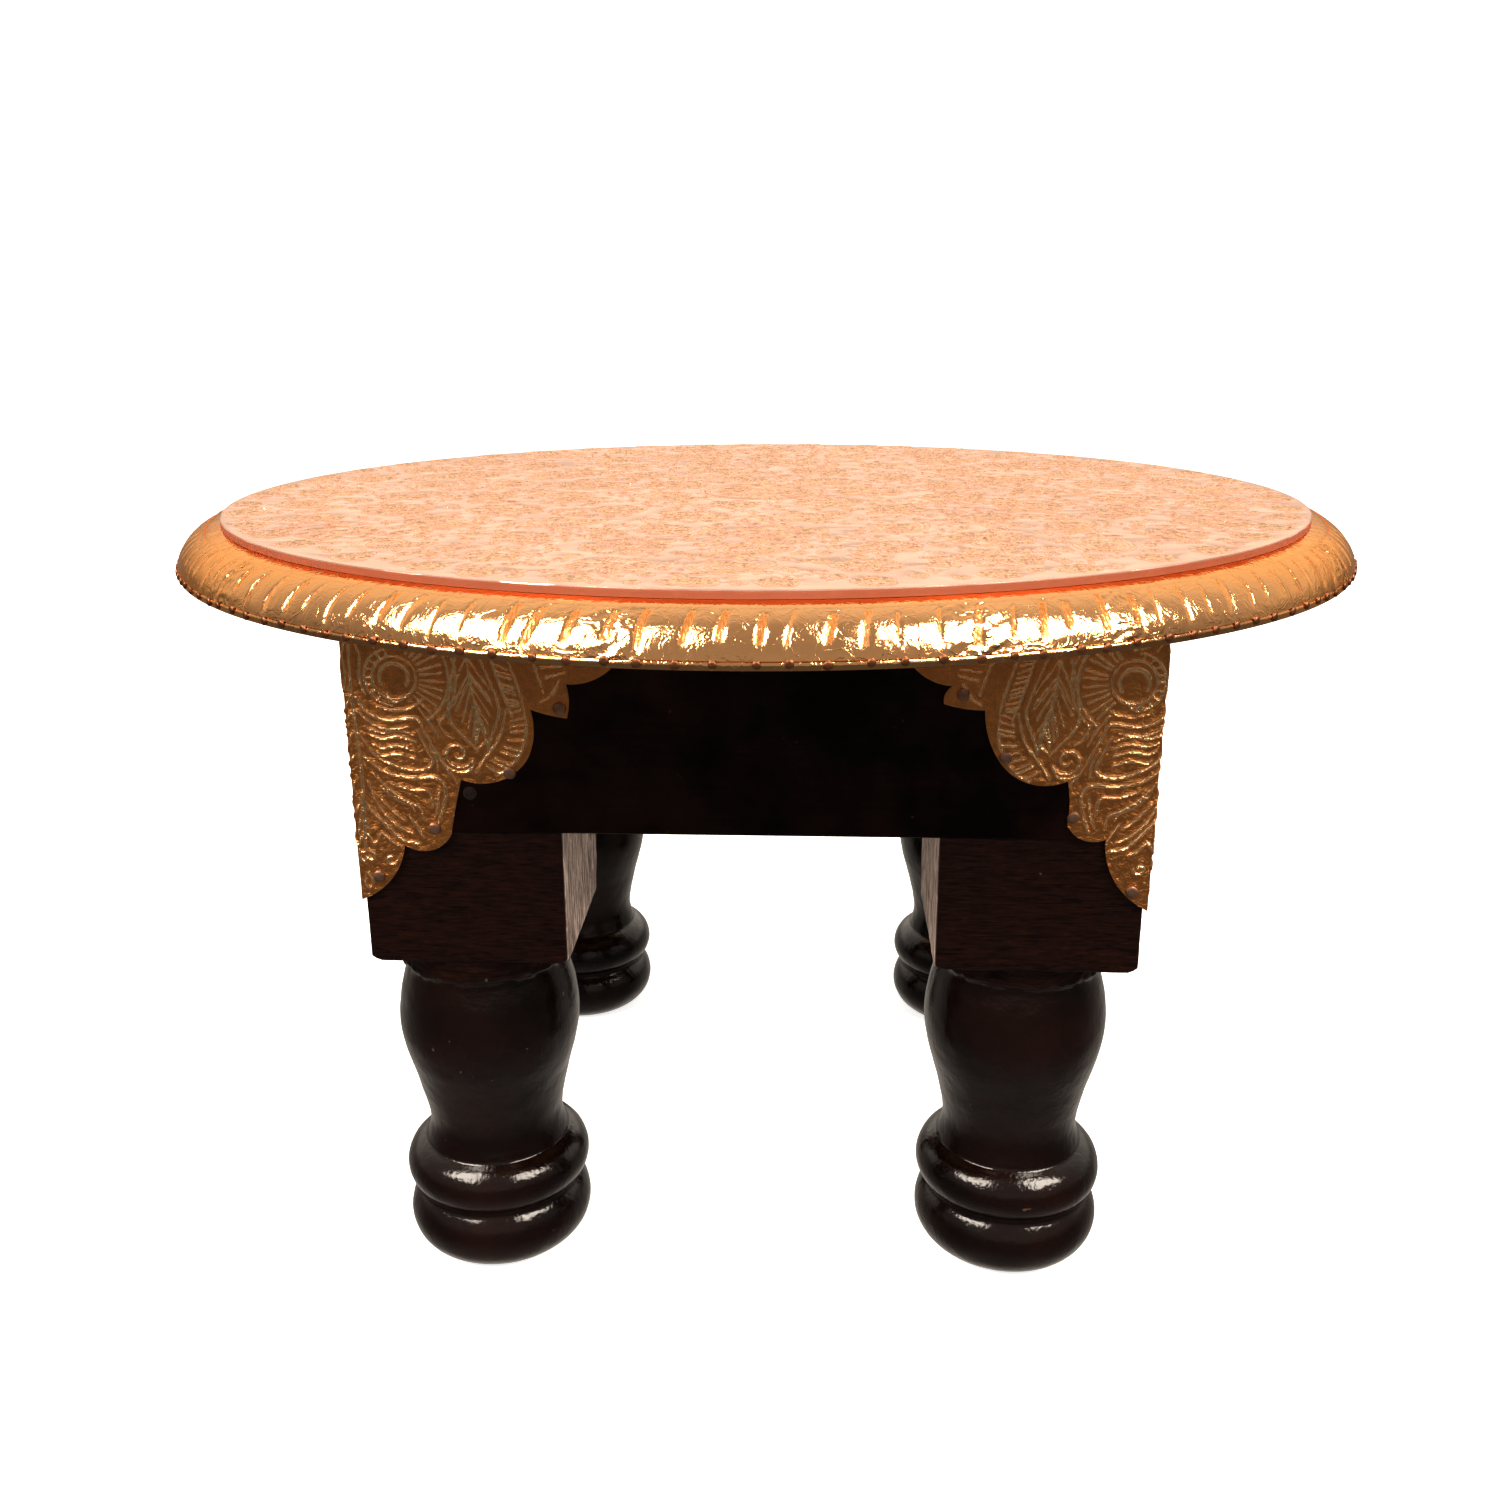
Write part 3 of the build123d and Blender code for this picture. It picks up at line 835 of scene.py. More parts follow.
def leg_profile():
    """(radius, height) of the turned part, from the sole to the foot of the block, evenly spaced."""

    def curve(a, b, c):
        x, z, r = circle_through(a, b, c)
        start = math.degrees(math.atan2(a[1] - z, a[0] - x))
        end = math.degrees(math.atan2(c[1] - z, c[0] - x))
        return arc((x, z), r, start, end, 26)

    foot = curve((18.0, 0.3), (23.7, 8.5), (20.8, 16.0))
    bead = curve((20.8, 17.0), (23.7, 22.6), (18.4, 29.8))
    urn = [(18.4, 29.8), (17.1, 36.5), (19.1, 47.0), (21.8, 57.0), (22.75, 64.5), (22.0, 72.5), (20.1, 79.8)]
    collar = [(20.1, 80.8), (21.1, 81.7), (21.3, 83.0), (21.3, 87.9)]
    line = np.vstack([[(17.2, 0.0)], foot, bead, flow(urn, 8), collar])
    length = np.concatenate([[0], np.cumsum(np.hypot(*np.diff(line, axis=0).T))])
    count = 165
    even = np.linspace(0, length[-1], count)
    return np.stack([np.interp(even, length, line[:, 0]), np.interp(even, length, line[:, 1])], 1)


def square_ring(half, corner, per_side, per_corner):
    """Points round a square with rounded corners, anticlockwise from the +X side."""
    ring = []
    for k in range(4):
        turn = math.radians(90 * k)
        side = [(half, y) for y in np.linspace(-(half - corner), half - corner, per_side, endpoint=False)]
        middle = half - corner
        bend = [
            (middle + corner * math.cos(a), middle + corner * math.sin(a))
            for a in np.linspace(0, math.pi / 2, per_corner, endpoint=False)
        ]
        for x, y in side + bend:
            ring.append((x * math.cos(turn) - y * math.sin(turn), x * math.sin(turn) + y * math.cos(turn)))
    return np.array(ring)


def make_leg(corner, seed, turned_shift, bare_sides):
    """Turned leg with its square block and, inside the box, the post the rails are nailed to."""
    sx = -1 if "left" in corner else 1
    sy = -1 if "front" in corner else 1
    half = block_size / 2
    per_side, per_corner = ((40, 5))
    base_ring = square_ring(half, 0.7, per_side, per_corner)
    columns = len(base_ring)
    angle = np.arctan2(base_ring[:, 1], base_ring[:, 0])
    cos, sin = np.cos(angle), np.sin(angle)
    rings, turned, bare = [], [], []

    def add(middle, x, y, z, is_turned, is_bare=None):
        rings.append(np.stack([middle[0] + x, middle[1] + y, np.broadcast_to(z, x.shape)], 1))
        turned.append(np.full(columns, is_turned))
        bare.append(np.zeros(columns) if is_bare is None else is_bare)

    profile = leg_profile()
    centre = np.array([sx * leg_axis, sy * leg_axis])
    turned_centre = centre + turned_shift
    for reach in (0.02, 0.5, 0.8):
        add(turned_centre, reach * 17 * cos, reach * 17 * sin, 0.0, 0.2)
    for radius, height in profile:
        wobble = 0.10 * noise2(angle * 8 + 40, height, 9, seed)
        wobble = wobble + 0.05 * noise2(angle * 20 + 80, height * 1.4, 3.5, seed + 1)
        ragged = ease(79.5, 81.5, height) * 0.45 * noise2(angle * 21 + 60, height, 1.6, seed + 2)
        r = radius + (wobble + ragged) * ease(0, 2, height)
        add(turned_centre, r * cos, r * sin, max(height, 0.0), float(1 - ease(81, 83, height)))
    # Block: rounded lower corners, a worn lower edge and slightly hollow faces.
    top = rail_bottom
    levels = np.concatenate([[block_bottom, block_bottom, block_bottom + 0.15], np.linspace(88.5, 95, 10)])
    levels = np.concatenate([levels, np.linspace(96.5, top - 0.05, 24)])
    for k, level in enumerate(levels):
        chip = 0.45 * np.maximum(noise2(angle * 16 + 30, 5, 2.6, seed + 3), -0.2)
        worn = (0.45 + chip) * (1 - ease(block_bottom - 0.3, block_bottom + 0.9, level))
        reach = np.hypot(base_ring[:, 0], base_ring[:, 1])
        inner = (-sx * base_ring[:, 0] > half - 2) & (-sy * base_ring[:, 1] > half - 2)
        rise = np.clip((level - block_bottom) / np.where(inner, 9.0, 2.0), 0, 1)
        low_reach = np.where(inner, 30.4, 32.4)
        limit = low_reach + (block_size * 0.71 - low_reach) * rise
        reach = np.minimum(reach, limit) - worn - (2.2 if k == 0 else 0)
        wave = 0.12 * noise2(angle * 14 + 20, level, 7, seed + 4)
        wave = wave + 0.05 * noise2(angle * 26 + 20, level * 2.2, 2.2, seed + 5)
        flat = np.abs(np.maximum(np.abs(base_ring[:, 0]), np.abs(base_ring[:, 1])) - half) < 0.05
        reach = reach + wave * flat - 0.05
        is_bare = np.zeros(columns)
        for direction in bare_sides:
            facing = base_ring @ np.array(direction, float)
            is_bare = np.maximum(is_bare, ease(half - 0.35, half - 0.05, facing))
        is_bare = is_bare * float(ease(block_bottom, block_bottom + 1.2, level))
        add(centre, reach * cos, reach * sin, level, 0.0, is_bare)
    # Post inside the rails.
    post_half, cap = 18.0, 12.0
    post = np.array([sx, sy]) * (box_half - rail_thickness - post_half)
    x, y = square_ring(post_half, 0.7, per_side, per_corner).T
    for level in (top, top + 0.2, 150.0, disc_bottom):
        add(post, x, y, level, 0.0)
    add(post, (1 - cap / post_half) * x, (1 - cap / post_half) * y, disc_bottom, 0.0)
    verts = np.vstack(rings)
    faces = [list(f) for f in grid_faces(len(rings), columns, close_columns=True)]
    faces.append(list(range(columns))[::-1])
    faces.append([len(verts) - columns + k for k in range(columns)])
    name = corner + "_turned_leg"
    piece = make_piece(name, verts, faces, leg_lacquer, (corner + "_leg",))
    shade_smooth(piece, 42)
    store(piece, "turned", np.concatenate(turned))
    store(piece, "raw", np.concatenate(bare))


make_leg("front_left", 101, (-1.2, -1.5), [(1, 0)])
make_leg("front_right", 121, (-0.6, 0.9), [(-1, 0)])
make_leg("back_right", 141, (0.4, -0.3), [(-1, 0), (0, -1)])
make_leg("back_left", 161, (-0.3, 0.4), [(1, 0), (0, -1)])

# --- Corner plates ---
# A plate is drawn flat: u runs from the fold, positive on its wide leaf, and d runs down.
plate_thickness = 0.4
pattern_middle = 2.5
wide_nails = [(49.0, 24.2), (37.0, 39.5), (18.8, 53.2), (4.9, 65.2)]
narrow_nails = [(44.2, 20.2), (34.2, 34.7), (18.5, 48.6), (4.1, 66.5)]
wide_edge = [
    (64.5, 9.0), (59.9, 15.8), (50.7, 18.6), (51.2, 22.3), (50.6, 26.5), (46.5, 25.8), (42.4, 24.5),
    (42.9, 30.5), (41.2, 36.2), (35.0, 41.3), (25.7, 41.3), (24.0, 48.0), (22.6, 54.6),
    (18.6, 58.3), (11.5, 57.4), (8.3, 65.3), (0.0, 71.3),
]
narrow_edge = [
    (58.0, 9.0), (54.2, 15.2), (46.7, 18.3), (48.2, 20.1), (48.4, 22.4), (44.2, 23.4), (39.3, 23.8),
    (38.2, 30.3), (35.2, 36.2), (28.8, 40.7), (20.2, 40.1), (19.5, 45.2), (19.7, 50.4),
    (16.6, 53.8), (10.9, 53.9), (7.9, 64.5), (0.0, 71.3),
]


def lobe_points(edge, spacing):
    """Evenly spaced points along an edge made of three-point arcs, without the last one."""
    out = []
    for a, b, c in zip(edge[:-2:2], edge[1::2], edge[2::2]):
        x, y, r = circle_through(a, b, c)
        start, end = (math.atan2(p[1] - y, p[0] - x) for p in (a, c))
        while end - start > math.pi:
            end -= 2 * math.pi
        while end - start < -math.pi:
            end += 2 * math.pi
        steps = max(2, int(r * abs(end - start) / spacing))
        for angle in np.linspace(start, end, steps, endpoint=False):
            out.append(polar((x, y), r, angle))
    return out


def plate_outline(spacing):
    """The whole edge of the flattened plate, closed, in order."""
    top = plate_datum - plate_top
    leaves = []
    for edge in (wide_edge, narrow_edge):
        reach, down = edge[0]
        leaves.append([(reach, d) for d in np.arange(top, down, spacing)] + lobe_points(edge, spacing))
    wide, narrow = leaves
    across = np.arange(spacing - narrow_edge[0][0], wide_edge[0][0] - 0.5 * spacing, spacing)
    return wide + [wide_edge[-1]] + [(-u, d) for u, d in narrow[::-1]] + [(u, top) for u in across]


def plate_mesh(spacing):
    """Flat triangles filling the outline, with their points a given distance apart."""
    outline = plate_outline(spacing)
    edge = np.array(outline)
    nxt = np.roll(edge, -1, axis=0)
    columns = np.arange(-narrow_edge[0][0], wide_edge[0][0] + 0.1, spacing)
    inner = []
    for row, d in enumerate(np.arange(0.3, 71.5, spacing * 0.87)):
        crossing = (edge[:, 1] > d) != (nxt[:, 1] > d)
        a, b = edge[crossing], nxt[crossing]
        at = a[:, 0] + (d - a[:, 1]) / (b[:, 1] - a[:, 1]) * (b[:, 0] - a[:, 0])
        u = columns + (spacing / 2 if row % 2 else 0)
        inside = (u[:, None] < at[None, :]).sum(1) % 2 == 1
        u = u[inside]
        near = edge[np.abs(edge[:, 1] - d) < spacing]
        if len(near):
            gap = np.hypot(u[:, None] - near[None, :, 0], d - near[None, :, 1]).min(1)
            u = u[gap > 0.55 * spacing]
        inner.extend((float(x), float(d)) for x in u)
    points = [Vector(p) for p in outline + inner]
    border = [(k, (k + 1) % len(outline)) for k in range(len(outline))]
    verts, _, faces, _, _, _ = delaunay_2d_cdt(points, border, [], 1, 1e-4)
    return np.array([tuple(v) for v in verts]), faces


def petal_fan(draw, centre, inner, outer, start, end, count):
    """Narrow petals drawn as loops, fanned out from a centre."""
    half = math.radians((end - start) / count / 2) * 0.86
    loop = [(0, 0), (0.5, half), (0.85, 0.8 * half), (1, 0), (0.85, -0.8 * half), (0.5, -half), (0, 0)]
    for k in range(count):
        middle = math.radians(start + (end - start) * (k + 0.5) / count)
        petal = [polar(centre, inner + reach * (outer - inner), middle + turn) for reach, turn in loop]
        draw(flow(petal, 3), 0.36)


def hatch(draw, left, right, count, width=0.34, slope=0.06):
    """Short lines from one edge of a leaf to the other."""
    left, right = flow(left, 6), flow(right, 6)
    for k in range(count):
        t = (k + 0.7) / (count + 0.4)
        i = int(t * (len(left) - 1))
        j = int(min(t + slope, 0.999) * (len(right) - 1))
        draw([left[i], 0.25 * left[i] + 0.75 * right[j]], width)


def leaf_pattern(draw):
    """One half of the plate's ornament: rosette, palmette leaves, a scroll and the lower sprays."""
    rose = (11.9, 17.2)

    def line(half_width, *points):
        draw(flow(points), half_width)

    def ray(degrees, inner, outer, half_width):
        a = math.radians(degrees)
        draw([polar(rose, inner, a), polar(rose, outer, a)], half_width)

    draw(arc(rose, 3.3, 150, 395), 0.72)
    draw(arc(rose, 5.0, 0, 360, 24), 0.45)
    draw(arc(rose, 6.7, -95, -265, 20), 0.5)
    for k in range(9):
        ray(-105 - 150 * k / 8, 5.1, 6.3, 0.36)
    draw(arc((11.9, 21.4), 1.6, 20, 200, 10), 0.4)
    for k in range(11):
        ray(-58 + 10.5 * k, 6.2, 11.4, 0.4)
    draw(arc(rose, 12.6, -60, 52, 18), 0.45)
    draw(arc(rose, 13.9, -52, 46, 18), 0.42)
    # Fan above the rosette, reaching the top edge.
    petal_fan(draw, (11.9, 10.5), 1.0, 7.5, -150, -30, 5)
    line(0.42, (3.4, 3.5), (6.0, 7.5), (8.0, 10.5))
    line(0.42, (20.5, 3.0), (18.5, 6.5), (16.5, 9.0))
    # Leaf A with its vein.
    vein = [(28.5, 12.5), (29.7, 22.5), (32.5, 33.8)]
    left = [(26.2, 12.0), (24.1, 21.6), (24.1, 27.4), (28.0, 32.3), (29.8, 34.3)]
    right = [(31.3, 12.0), (34.6, 21.1), (35.2, 25.5), (33.2, 30.9), (32.5, 33.8)]
    draw(flow(vein), 0.42)
    draw(flow(left), 0.46)
    draw(flow(right), 0.46)
    hatch(draw, vein, left, 9, 0.33, 0.24)
    hatch(draw, vein, right, 9, 0.33, 0.24)
    # Band B, hatched between two lines.
    inner = [(33.4, 10.0), (35.0, 15.7), (36.6, 21.1), (38.4, 26.4)]
    outer = [(36.5, 9.0), (38.7, 15.7), (40.4, 21.5), (41.0, 24.8)]
    draw(flow(inner), 0.44)
    draw(flow(outer), 0.44)
    hatch(draw, inner, outer, 13, 0.33)
    # Leaf C and the horn strokes out to the end of the leaf.
    line(0.44, (39.5, 8.0), (43.2, 12.7), (45.8, 20.5))
    line(0.44, (43.0, 6.5), (48.5, 10.5), (53.5, 12.4))
    hatch(draw, [(41.0, 8.0), (44.5, 13.0), (47.0, 19.0)], [(46.0, 8.0), (51.0, 12.5), (52.0, 16.0)], 6, 0.36)
    line(0.4, (45.0, 22.6), (47.5, 21.0), (49.5, 17.7))
    line(0.44, (48.0, 5.0), (53.0, 7.5), (58.5, 8.0))
    line(0.4, (52.5, 3.2), (57.0, 5.2), (62.0, 5.8))
    draw(arc((55.6, 11.3), 1.7, 0, 360, 12), 0.4)
    # Border of the second lobe, with short inward strokes.
    border = [(41.0, 25.5), (41.2, 29.4), (39.8, 34.3), (37.0, 38.2), (33.7, 40.2)]
    draw(flow(border), 0.42)
    hatch(draw, border, [(36.5, 26.5), (36.5, 29.5), (35.0, 33.0), (32.8, 35.5), (30.5, 37.5)], 9, 0.34, 0.04)
    line(0.4, (36.8, 24.5), (36.2, 27.4), (35.0, 31.4), (32.1, 35.3), (29.1, 39.7))
    draw(spiral((25.5, 35.3), 3.6, 20, 1.35, 22), 0.46)
    line(0.4, (29.0, 36.8), (28.0, 38.8), (25.6, 39.6), (22.6, 38.4))
    # Middle boundary, doubled over its last part.
    line(0.48, (3.2, 22.1), (5.4, 25.5), (9.9, 27.4), (16.3, 26.9), (18.0, 29.4), (21.3, 36.2), (25.0, 42.1))
    line(0.44, (17.2, 24.6), (19.8, 28.4), (21.4, 31.4))
    # Leaf D with wavy veins.
    line(0.46, (3.1, 30.4), (5.9, 35.3), (10.6, 38.2), (15.9, 39.4), (19.5, 37.7), (17.9, 33.3), (16.5, 29.9))
    for k in range(4):
        drop = 1.9 * k
        line(0.38, (4.6 + 0.8 * k, 29.0 + drop), (8.4, 30.0 + drop), (11.8, 29.4 + drop), (15.8, 30.6 + drop))
    line(0.38, (2.8, 25.2), (5.8, 28.0), (9.8, 29.6), (14.6, 29.0))
    line(0.36, (7.4, 24.0), (11.0, 25.0), (15.2, 24.6), (18.6, 22.0))
    line(0.36, (19.0, 32.6), (20.6, 36.4), (20.8, 39.2))
    # Leaf E.
    line(0.46, (3.8, 36.2), (8.1, 39.7), (14.3, 41.2), (19.7, 41.0), (22.0, 43.5), (21.2, 48.5), (19.8, 52.2))
    line(0.4, (9.2, 42.6), (14.0, 44.0), (18.0, 44.4), (18.6, 48.6))
    line(0.4, (7.0, 43.2), (11.5, 46.5), (15.6, 48.0), (16.4, 51.2))
    line(0.36, (13.2, 50.4), (15.0, 53.2), (16.0, 55.6))
    line(0.36, (20.4, 44.0), (19.9, 48.0), (18.8, 51.0))
    line(0.36, (5.4, 40.2), (9.4, 44.6), (13.2, 47.2), (14.4, 49.4))
    line(0.36, (6.2, 45.4), (9.6, 49.4), (12.4, 51.6))
    # Lower sprays.
    line(0.46, (1.8, 41.1), (3.2, 47.0), (7.1, 51.9), (11.1, 56.0), (15.3, 57.0))
    line(0.4, (4.1, 42.1), (6.0, 48.0), (9.8, 52.6), (13.6, 54.6))
    line(0.4, (1.5, 45.0), (2.9, 50.4), (3.9, 54.8))
    line(0.4, (1.0, 55.8), (3.0, 54.8), (4.5, 57.3), (6.4, 54.6), (8.7, 56.8), (10.8, 57.6))
    draw(spiral((3.4, 60.3), 1.7, 180, 1.1, 14), 0.38)
    draw(spiral((8.0, 61.0), 1.5, 0, 1.1, 14), 0.36)
    line(0.36, (2.0, 63.5), (3.4, 66.8), (1.6, 69.0))
    line(0.36, (21.0, 26.4), (22.4, 30.0), (24.6, 31.6))
    # Between the fold and the rosette.
    line(0.42, (3.0, 8.0), (4.4, 12.0), (4.0, 17.0), (5.0, 21.0))
    line(0.42, (23.0, 3.5), (23.8, 7.5), (22.8, 11.5))
    line(0.42, (27.0, 3.0), (29.5, 7.0), (29.4, 11.0))
    line(0.4, (31.8, 3.0), (34.0, 6.0), (38.5, 7.4))


def plate_relief(seed):
    """Height field of one plate: the pattern on both leaves, with small slips of the tool."""
    relief = Relief((-60, -1), (66, 73), 0.2)
    slip = np.random.default_rng(seed)
    for side in (1, -1):

        def draw(points, half_width):
            p = np.asarray(points, float)
            p = p + slip.uniform(-0.22, 0.22, 2)
            u = p[:, 0] if side > 0 else 2 * pattern_middle - p[:, 0]
            keep = (p[:, 0] > pattern_middle - 0.3) & (p[:, 0] < 66)
            line = np.stack([u, p[:, 1]], 1)[keep]
            if len(line) > 1:
                relief.stroke(line, half_width * slip.uniform(1.0, 1.2), slip.uniform(0.34, 0.46), 0.3)

        leaf_pattern(draw)
    # Line down the middle of the pattern.
    relief.stroke(flow([(2.6, 2.0), (2.1, 20.0), (2.9, 40.0), (2.3, 58.0)]), 0.5, 0.36)
    return relief


def plate_place(corner_turn, u, d, lift):
    """Where a point of the flat plate lies once it is folded round its corner, lifted off the wood."""
    fold = 1.0
    reach = np.abs(u)
    bend = np.clip(u / fold, -1, 1) * math.pi / 4
    straight = np.maximum(reach - fold, 0)
    centre = fold - plate_face
    # The fold's normal turns from the narrow side's to the wide side's.
    angle = math.pi * 1.25 + bend
    nx, ny = np.cos(angle), np.sin(angle)
    x = centre + (fold + lift) * nx + np.where(u > 0, straight, 0)
    y = centre + (fold + lift) * ny + np.where(u < 0, straight, 0)
    c, s = math.cos(corner_turn), math.sin(corner_turn)
    return np.stack([c * x - s * y, s * x + c * y, plate_datum - d], -1)


def make_plate(corner, index, flat, triangles):
    """Scalloped plate folded round one corner of the box, embossed and slightly buckled."""
    relief = plate_relief(300 + index)
    u, d = flat[:, 0], flat[:, 1]
    raised = relief.sample(u, d)
    ripple = 0.07 * noise2(u + 200, d + 30, 7.5, 310 + index)
    ripple += 0.015 * noise2(u + 200, d + 30, 2.3, 320 + index)
    turn = math.pi / 2 * index
    front = plate_place(turn, u, d, raised + ripple)
    back = plate_place(turn, u, d, 0.05 - plate_thickness)
    count = len(flat)
    faces = [list(t) for t in triangles] + [[t[0] + count, t[2] + count, t[1] + count] for t in triangles]
    edges = dict.fromkeys(edge for t in triangles for edge in zip(t, (*t[1:], t[0])))
    for a, b in edges:
        if (b, a) not in edges:
            faces.append([b, a, a + count, b + count])
    verts = np.vstack([front, back])
    name = corner + "_corner_plate"
    piece = make_piece(name, verts, faces, plate_brass, (corner + "_plate",))
    thin_out(piece, 150000)
    shade_smooth(piece, 50)
    p = points_mm(piece)
    c, s = math.cos(-turn), math.sin(-turn)
    x, y = c * p[:, 0] - s * p[:, 1], s * p[:, 0] + c * p[:, 1]
    on_wide = y < x
    back_u = np.where(on_wide, x + plate_face, -(y + plate_face))
    value = relief.sample(back_u, plate_datum - p[:, 2]) / 0.45
    outside = np.minimum(x, y) < -plate_face - 0.18
    store(piece, "relief", np.where(outside, value, 0.0))


corners = ["front_left", "front_right", "back_right", "back_left"]
flat_plate, plate_triangles = plate_mesh(0.42)
for index, corner in enumerate(corners):
    make_plate(corner, index, flat_plate, plate_triangles)

# --- Nails ---


def nail_head(centre, outward, radius, dome, irregular, draw):
    """Low hammered dome with a closed flat back, as vertices and faces numbered from 0."""
    outward = Vector(outward).normalized()
    side = outward.orthogonal().normalized()
    other = outward.cross(side)
    around = 20
    centre, outward, side, other = (np.array(v) for v in (centre, outward, side, other))
    verts = [centre - outward * 0.3]
    stretch = draw.uniform(0.92, 1.0)
    lean = draw.uniform(0, 2 * math.pi)
    sections = [(0.96, -0.3), (1.0, 0.0), (0.97, 0.45), (0.86, 0.75), (0.6, 0.93), (0.3, 1.0)]
    bumps = draw.uniform(-1, 1, (len(sections), around)) * irregular
    for level, (reach, height) in enumerate(sections):
        for k in range(around):
            a = 2 * math.pi * k / around
            r = radius * reach * (1 - (1 - stretch) * abs(math.cos(a - lean))) * (1 + 0.4 * bumps[level, k])
            h = dome * height + (radius * 0.12 * bumps[level, k] if height > 0.5 else 0)
            if height < 0:
                h = -0.3
            verts.append(centre + r * (math.cos(a) * side + math.sin(a) * other) + h * outward)
    verts.append(centre + dome * (1 + 0.2 * bumps[-1, 0]) * outward)
    faces = [[0, 1 + (k + 1) % around, 1 + k] for k in range(around)]
    faces += [list(f) for f in grid_faces(len(sections), around, close_columns=True, start=1)]
    last = 1 + (len(sections) - 1) * around
    faces += [[last + k, last + (k + 1) % around, len(verts) - 1] for k in range(around)]
    return verts, faces


def make_nails(name, heads, material, replaced):
    verts, faces = [], []
    for new_verts, new_faces in heads:
        start = len(verts)
        verts.extend(new_verts)
        faces.extend([i + start for i in f] for f in new_faces)
    piece = make_piece(name, verts, faces, material, replaced)
    shade_smooth(piece, 60)


hammer = np.random.default_rng(77)
for index, corner in enumerate(corners):
    heads = []
    for places, sign in ((wide_nails, 1), (narrow_nails, -1)):
        for s, d in places:
            turn = math.pi / 2 * index
            spot = plate_place(turn, sign * s, d, 0.12)
            ahead = plate_place(turn, sign * s, d, 1.12) - spot
            heads.append(nail_head(spot, ahead, 1.5, 0.45, 0.14, hammer))
    make_nails(corner + "_tacks", heads, plate_nail_metal, (corner + "_plate_nails",))

heads = []
for k in range(rim_nail_count):
    angle = math.radians(360 * (k + 0.5 + hammer.uniform(-0.12, 0.12)) / rim_nail_count)
    outward = np.array([math.sin(angle), -math.cos(angle), 0.0])
    spot = outward * (rim_radius - 0.05)
    spot[2] = rim_nail_height + hammer.uniform(-0.25, 0.2)
    heads.append(nail_head(spot, outward, hammer.uniform(0.85, 1.02), 0.5, 0.16, hammer))
make_nails("rim_tacks", heads, rim_nail_metal, ("rim_nails",))

# --- Floor, camera and light ---


def make_floor():
    bpy.ops.mesh.primitive_circle_add(vertices=96, radius=4.0, fill_type="NGON", location=(0, 0, 0))
    floor = bpy.context.object
    floor.name = "floor"
    n = new_material("pale_floor")
    shade = n.mix(n.noise(3.0, 2), (0.93, 0.93, 0.93), (0.96, 0.96, 0.96))
    n.finish(shade, 0.9)
    n.shader.inputs["Emission Color"].default_value = (1, 1, 1, 1)
    seen = n.new("ShaderNodeLightPath").outputs["Is Camera Ray"]
    n.put(n.shader.inputs["Emission Strength"], n.math("MULTIPLY", seen, 0.75))
    floor.data.materials.append(n.owner)
    floor.visible_glossy = False


def make_camera():
    """Camera at the front, a little above the table top, looking down at it."""
    data = bpy.data.cameras.new("camera")
    data.sensor_width = 36.0
    data.lens = 34.36
    data.clip_start = 0.01
    camera = bpy.data.objects.new("camera", data)
    bpy.context.scene.collection.objects.link(camera)
    azimuth, pitch, roll = -0.0467, 0.3017, -0.0037
    level = math.cos(pitch)
    ahead = Vector((math.sin(azimuth) * level, math.cos(azimuth) * level, -math.sin(pitch)))
    right = Vector((math.cos(azimuth), -math.sin(azimuth), 0))
    up = right.cross(ahead)
    tilted_right = right * math.cos(roll) + up * math.sin(roll)
    tilted_up = tilted_right.cross(ahead)
    turn = Matrix((tilted_right, tilted_up, -ahead)).transposed().to_4x4()
    camera.matrix_world = Matrix.Translation(Vector((14.5, -397.9, 237.5)) * MM) @ turn
    bpy.context.scene.camera = camera


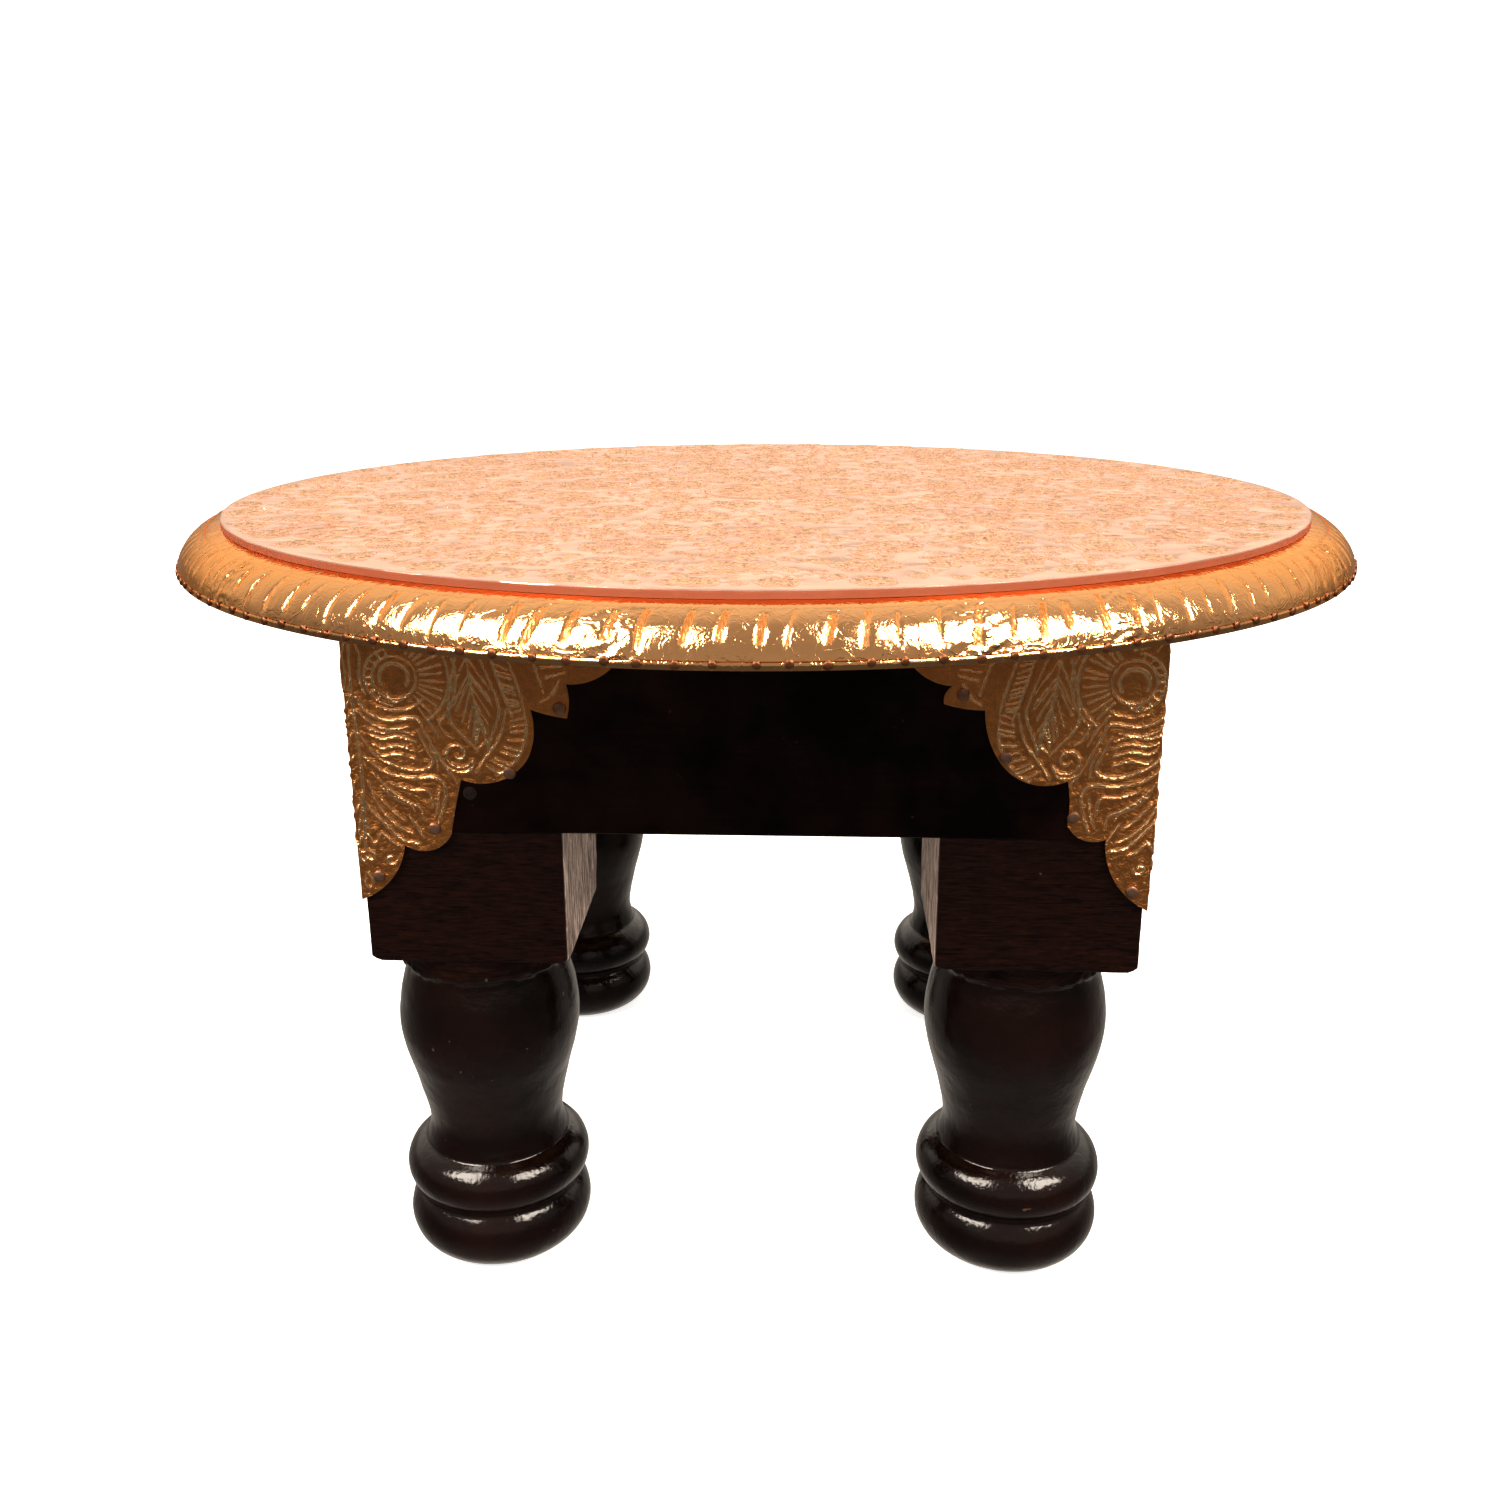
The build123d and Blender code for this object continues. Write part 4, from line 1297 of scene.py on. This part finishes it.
def soft_box(name, azimuth, distance, low, high, width, power):
    """Upright soft box facing the table from a direction; azimuth 0 is straight in front."""
    data = bpy.data.lights.new(name, "AREA")
    data.shape = "RECTANGLE"
    data.size = width
    data.size_y = high - low
    data.energy = power
    data.color = (1.0, 0.9, 0.79)
    lamp = bpy.data.objects.new(name, data)
    bpy.context.scene.collection.objects.link(lamp)
    lamp.visible_camera = False
    angle = math.radians(azimuth)
    way = Vector((math.sin(angle), -math.cos(angle), 0))
    lamp.location = way * distance + Vector((0, 0, (low + high) / 2))
    lamp.rotation_euler = way.to_track_quat("Z", "Y").to_euler()


def make_world():
    """White surroundings, with a dark part of the room straight in front of the table."""
    world = bpy.data.worlds.new("studio")
    bpy.context.scene.world = world
    n = Nodes(world, "Background", "Generated")
    split = n.new("ShaderNodeSeparateXYZ")
    n.link(n.place, split.inputs[0])
    # Along Y: dark in front, light behind. Along Z: light straight down, dark low down, light
    # above. Along X: a little darker at both sides.
    light = (1.0, 0.9025, 0.7921)
    for axis, stops in {
        "Y": ((0.08, 0.34), (0.45, 0.5), (0.72, 1.0)),
        "Z": ((0.05, 0.5), (0.28, 0.28), (0.50, 0.3), (0.62, 1.0), (0.95, 0.7)),
        "X": ((0.0, 0.5), (0.3, 0.95), (0.5, 1.0), (0.7, 0.95), (1.0, 0.5)),
    }.items():
        share = n.math("ADD", n.math("MULTIPLY", split.outputs[axis], 0.5), 0.5)
        light = n.mix(1.0, light, n.ramp(share, *stops), "MULTIPLY")
    seen = n.new("ShaderNodeLightPath").outputs["Is Camera Ray"]
    n.link(n.mix(seen, light, (1.0, 1.0, 1.0)), n.shader.inputs["Color"])
    n.shader.inputs["Strength"].default_value = 1.25


make_floor()
make_camera()
make_world()
soft_box("left_soft_box", -47, 0.85, 0.6, 1.95, 0.62, 39)
soft_box("right_soft_box", 52, 0.85, 0.6, 1.95, 0.62, 39)
bpy.context.scene.view_settings.view_transform = "Standard"
bpy.context.scene.view_settings.look = "None"
bpy.context.scene.view_settings.gamma = 0.85
bpy.context.scene.view_settings.exposure = 0.12

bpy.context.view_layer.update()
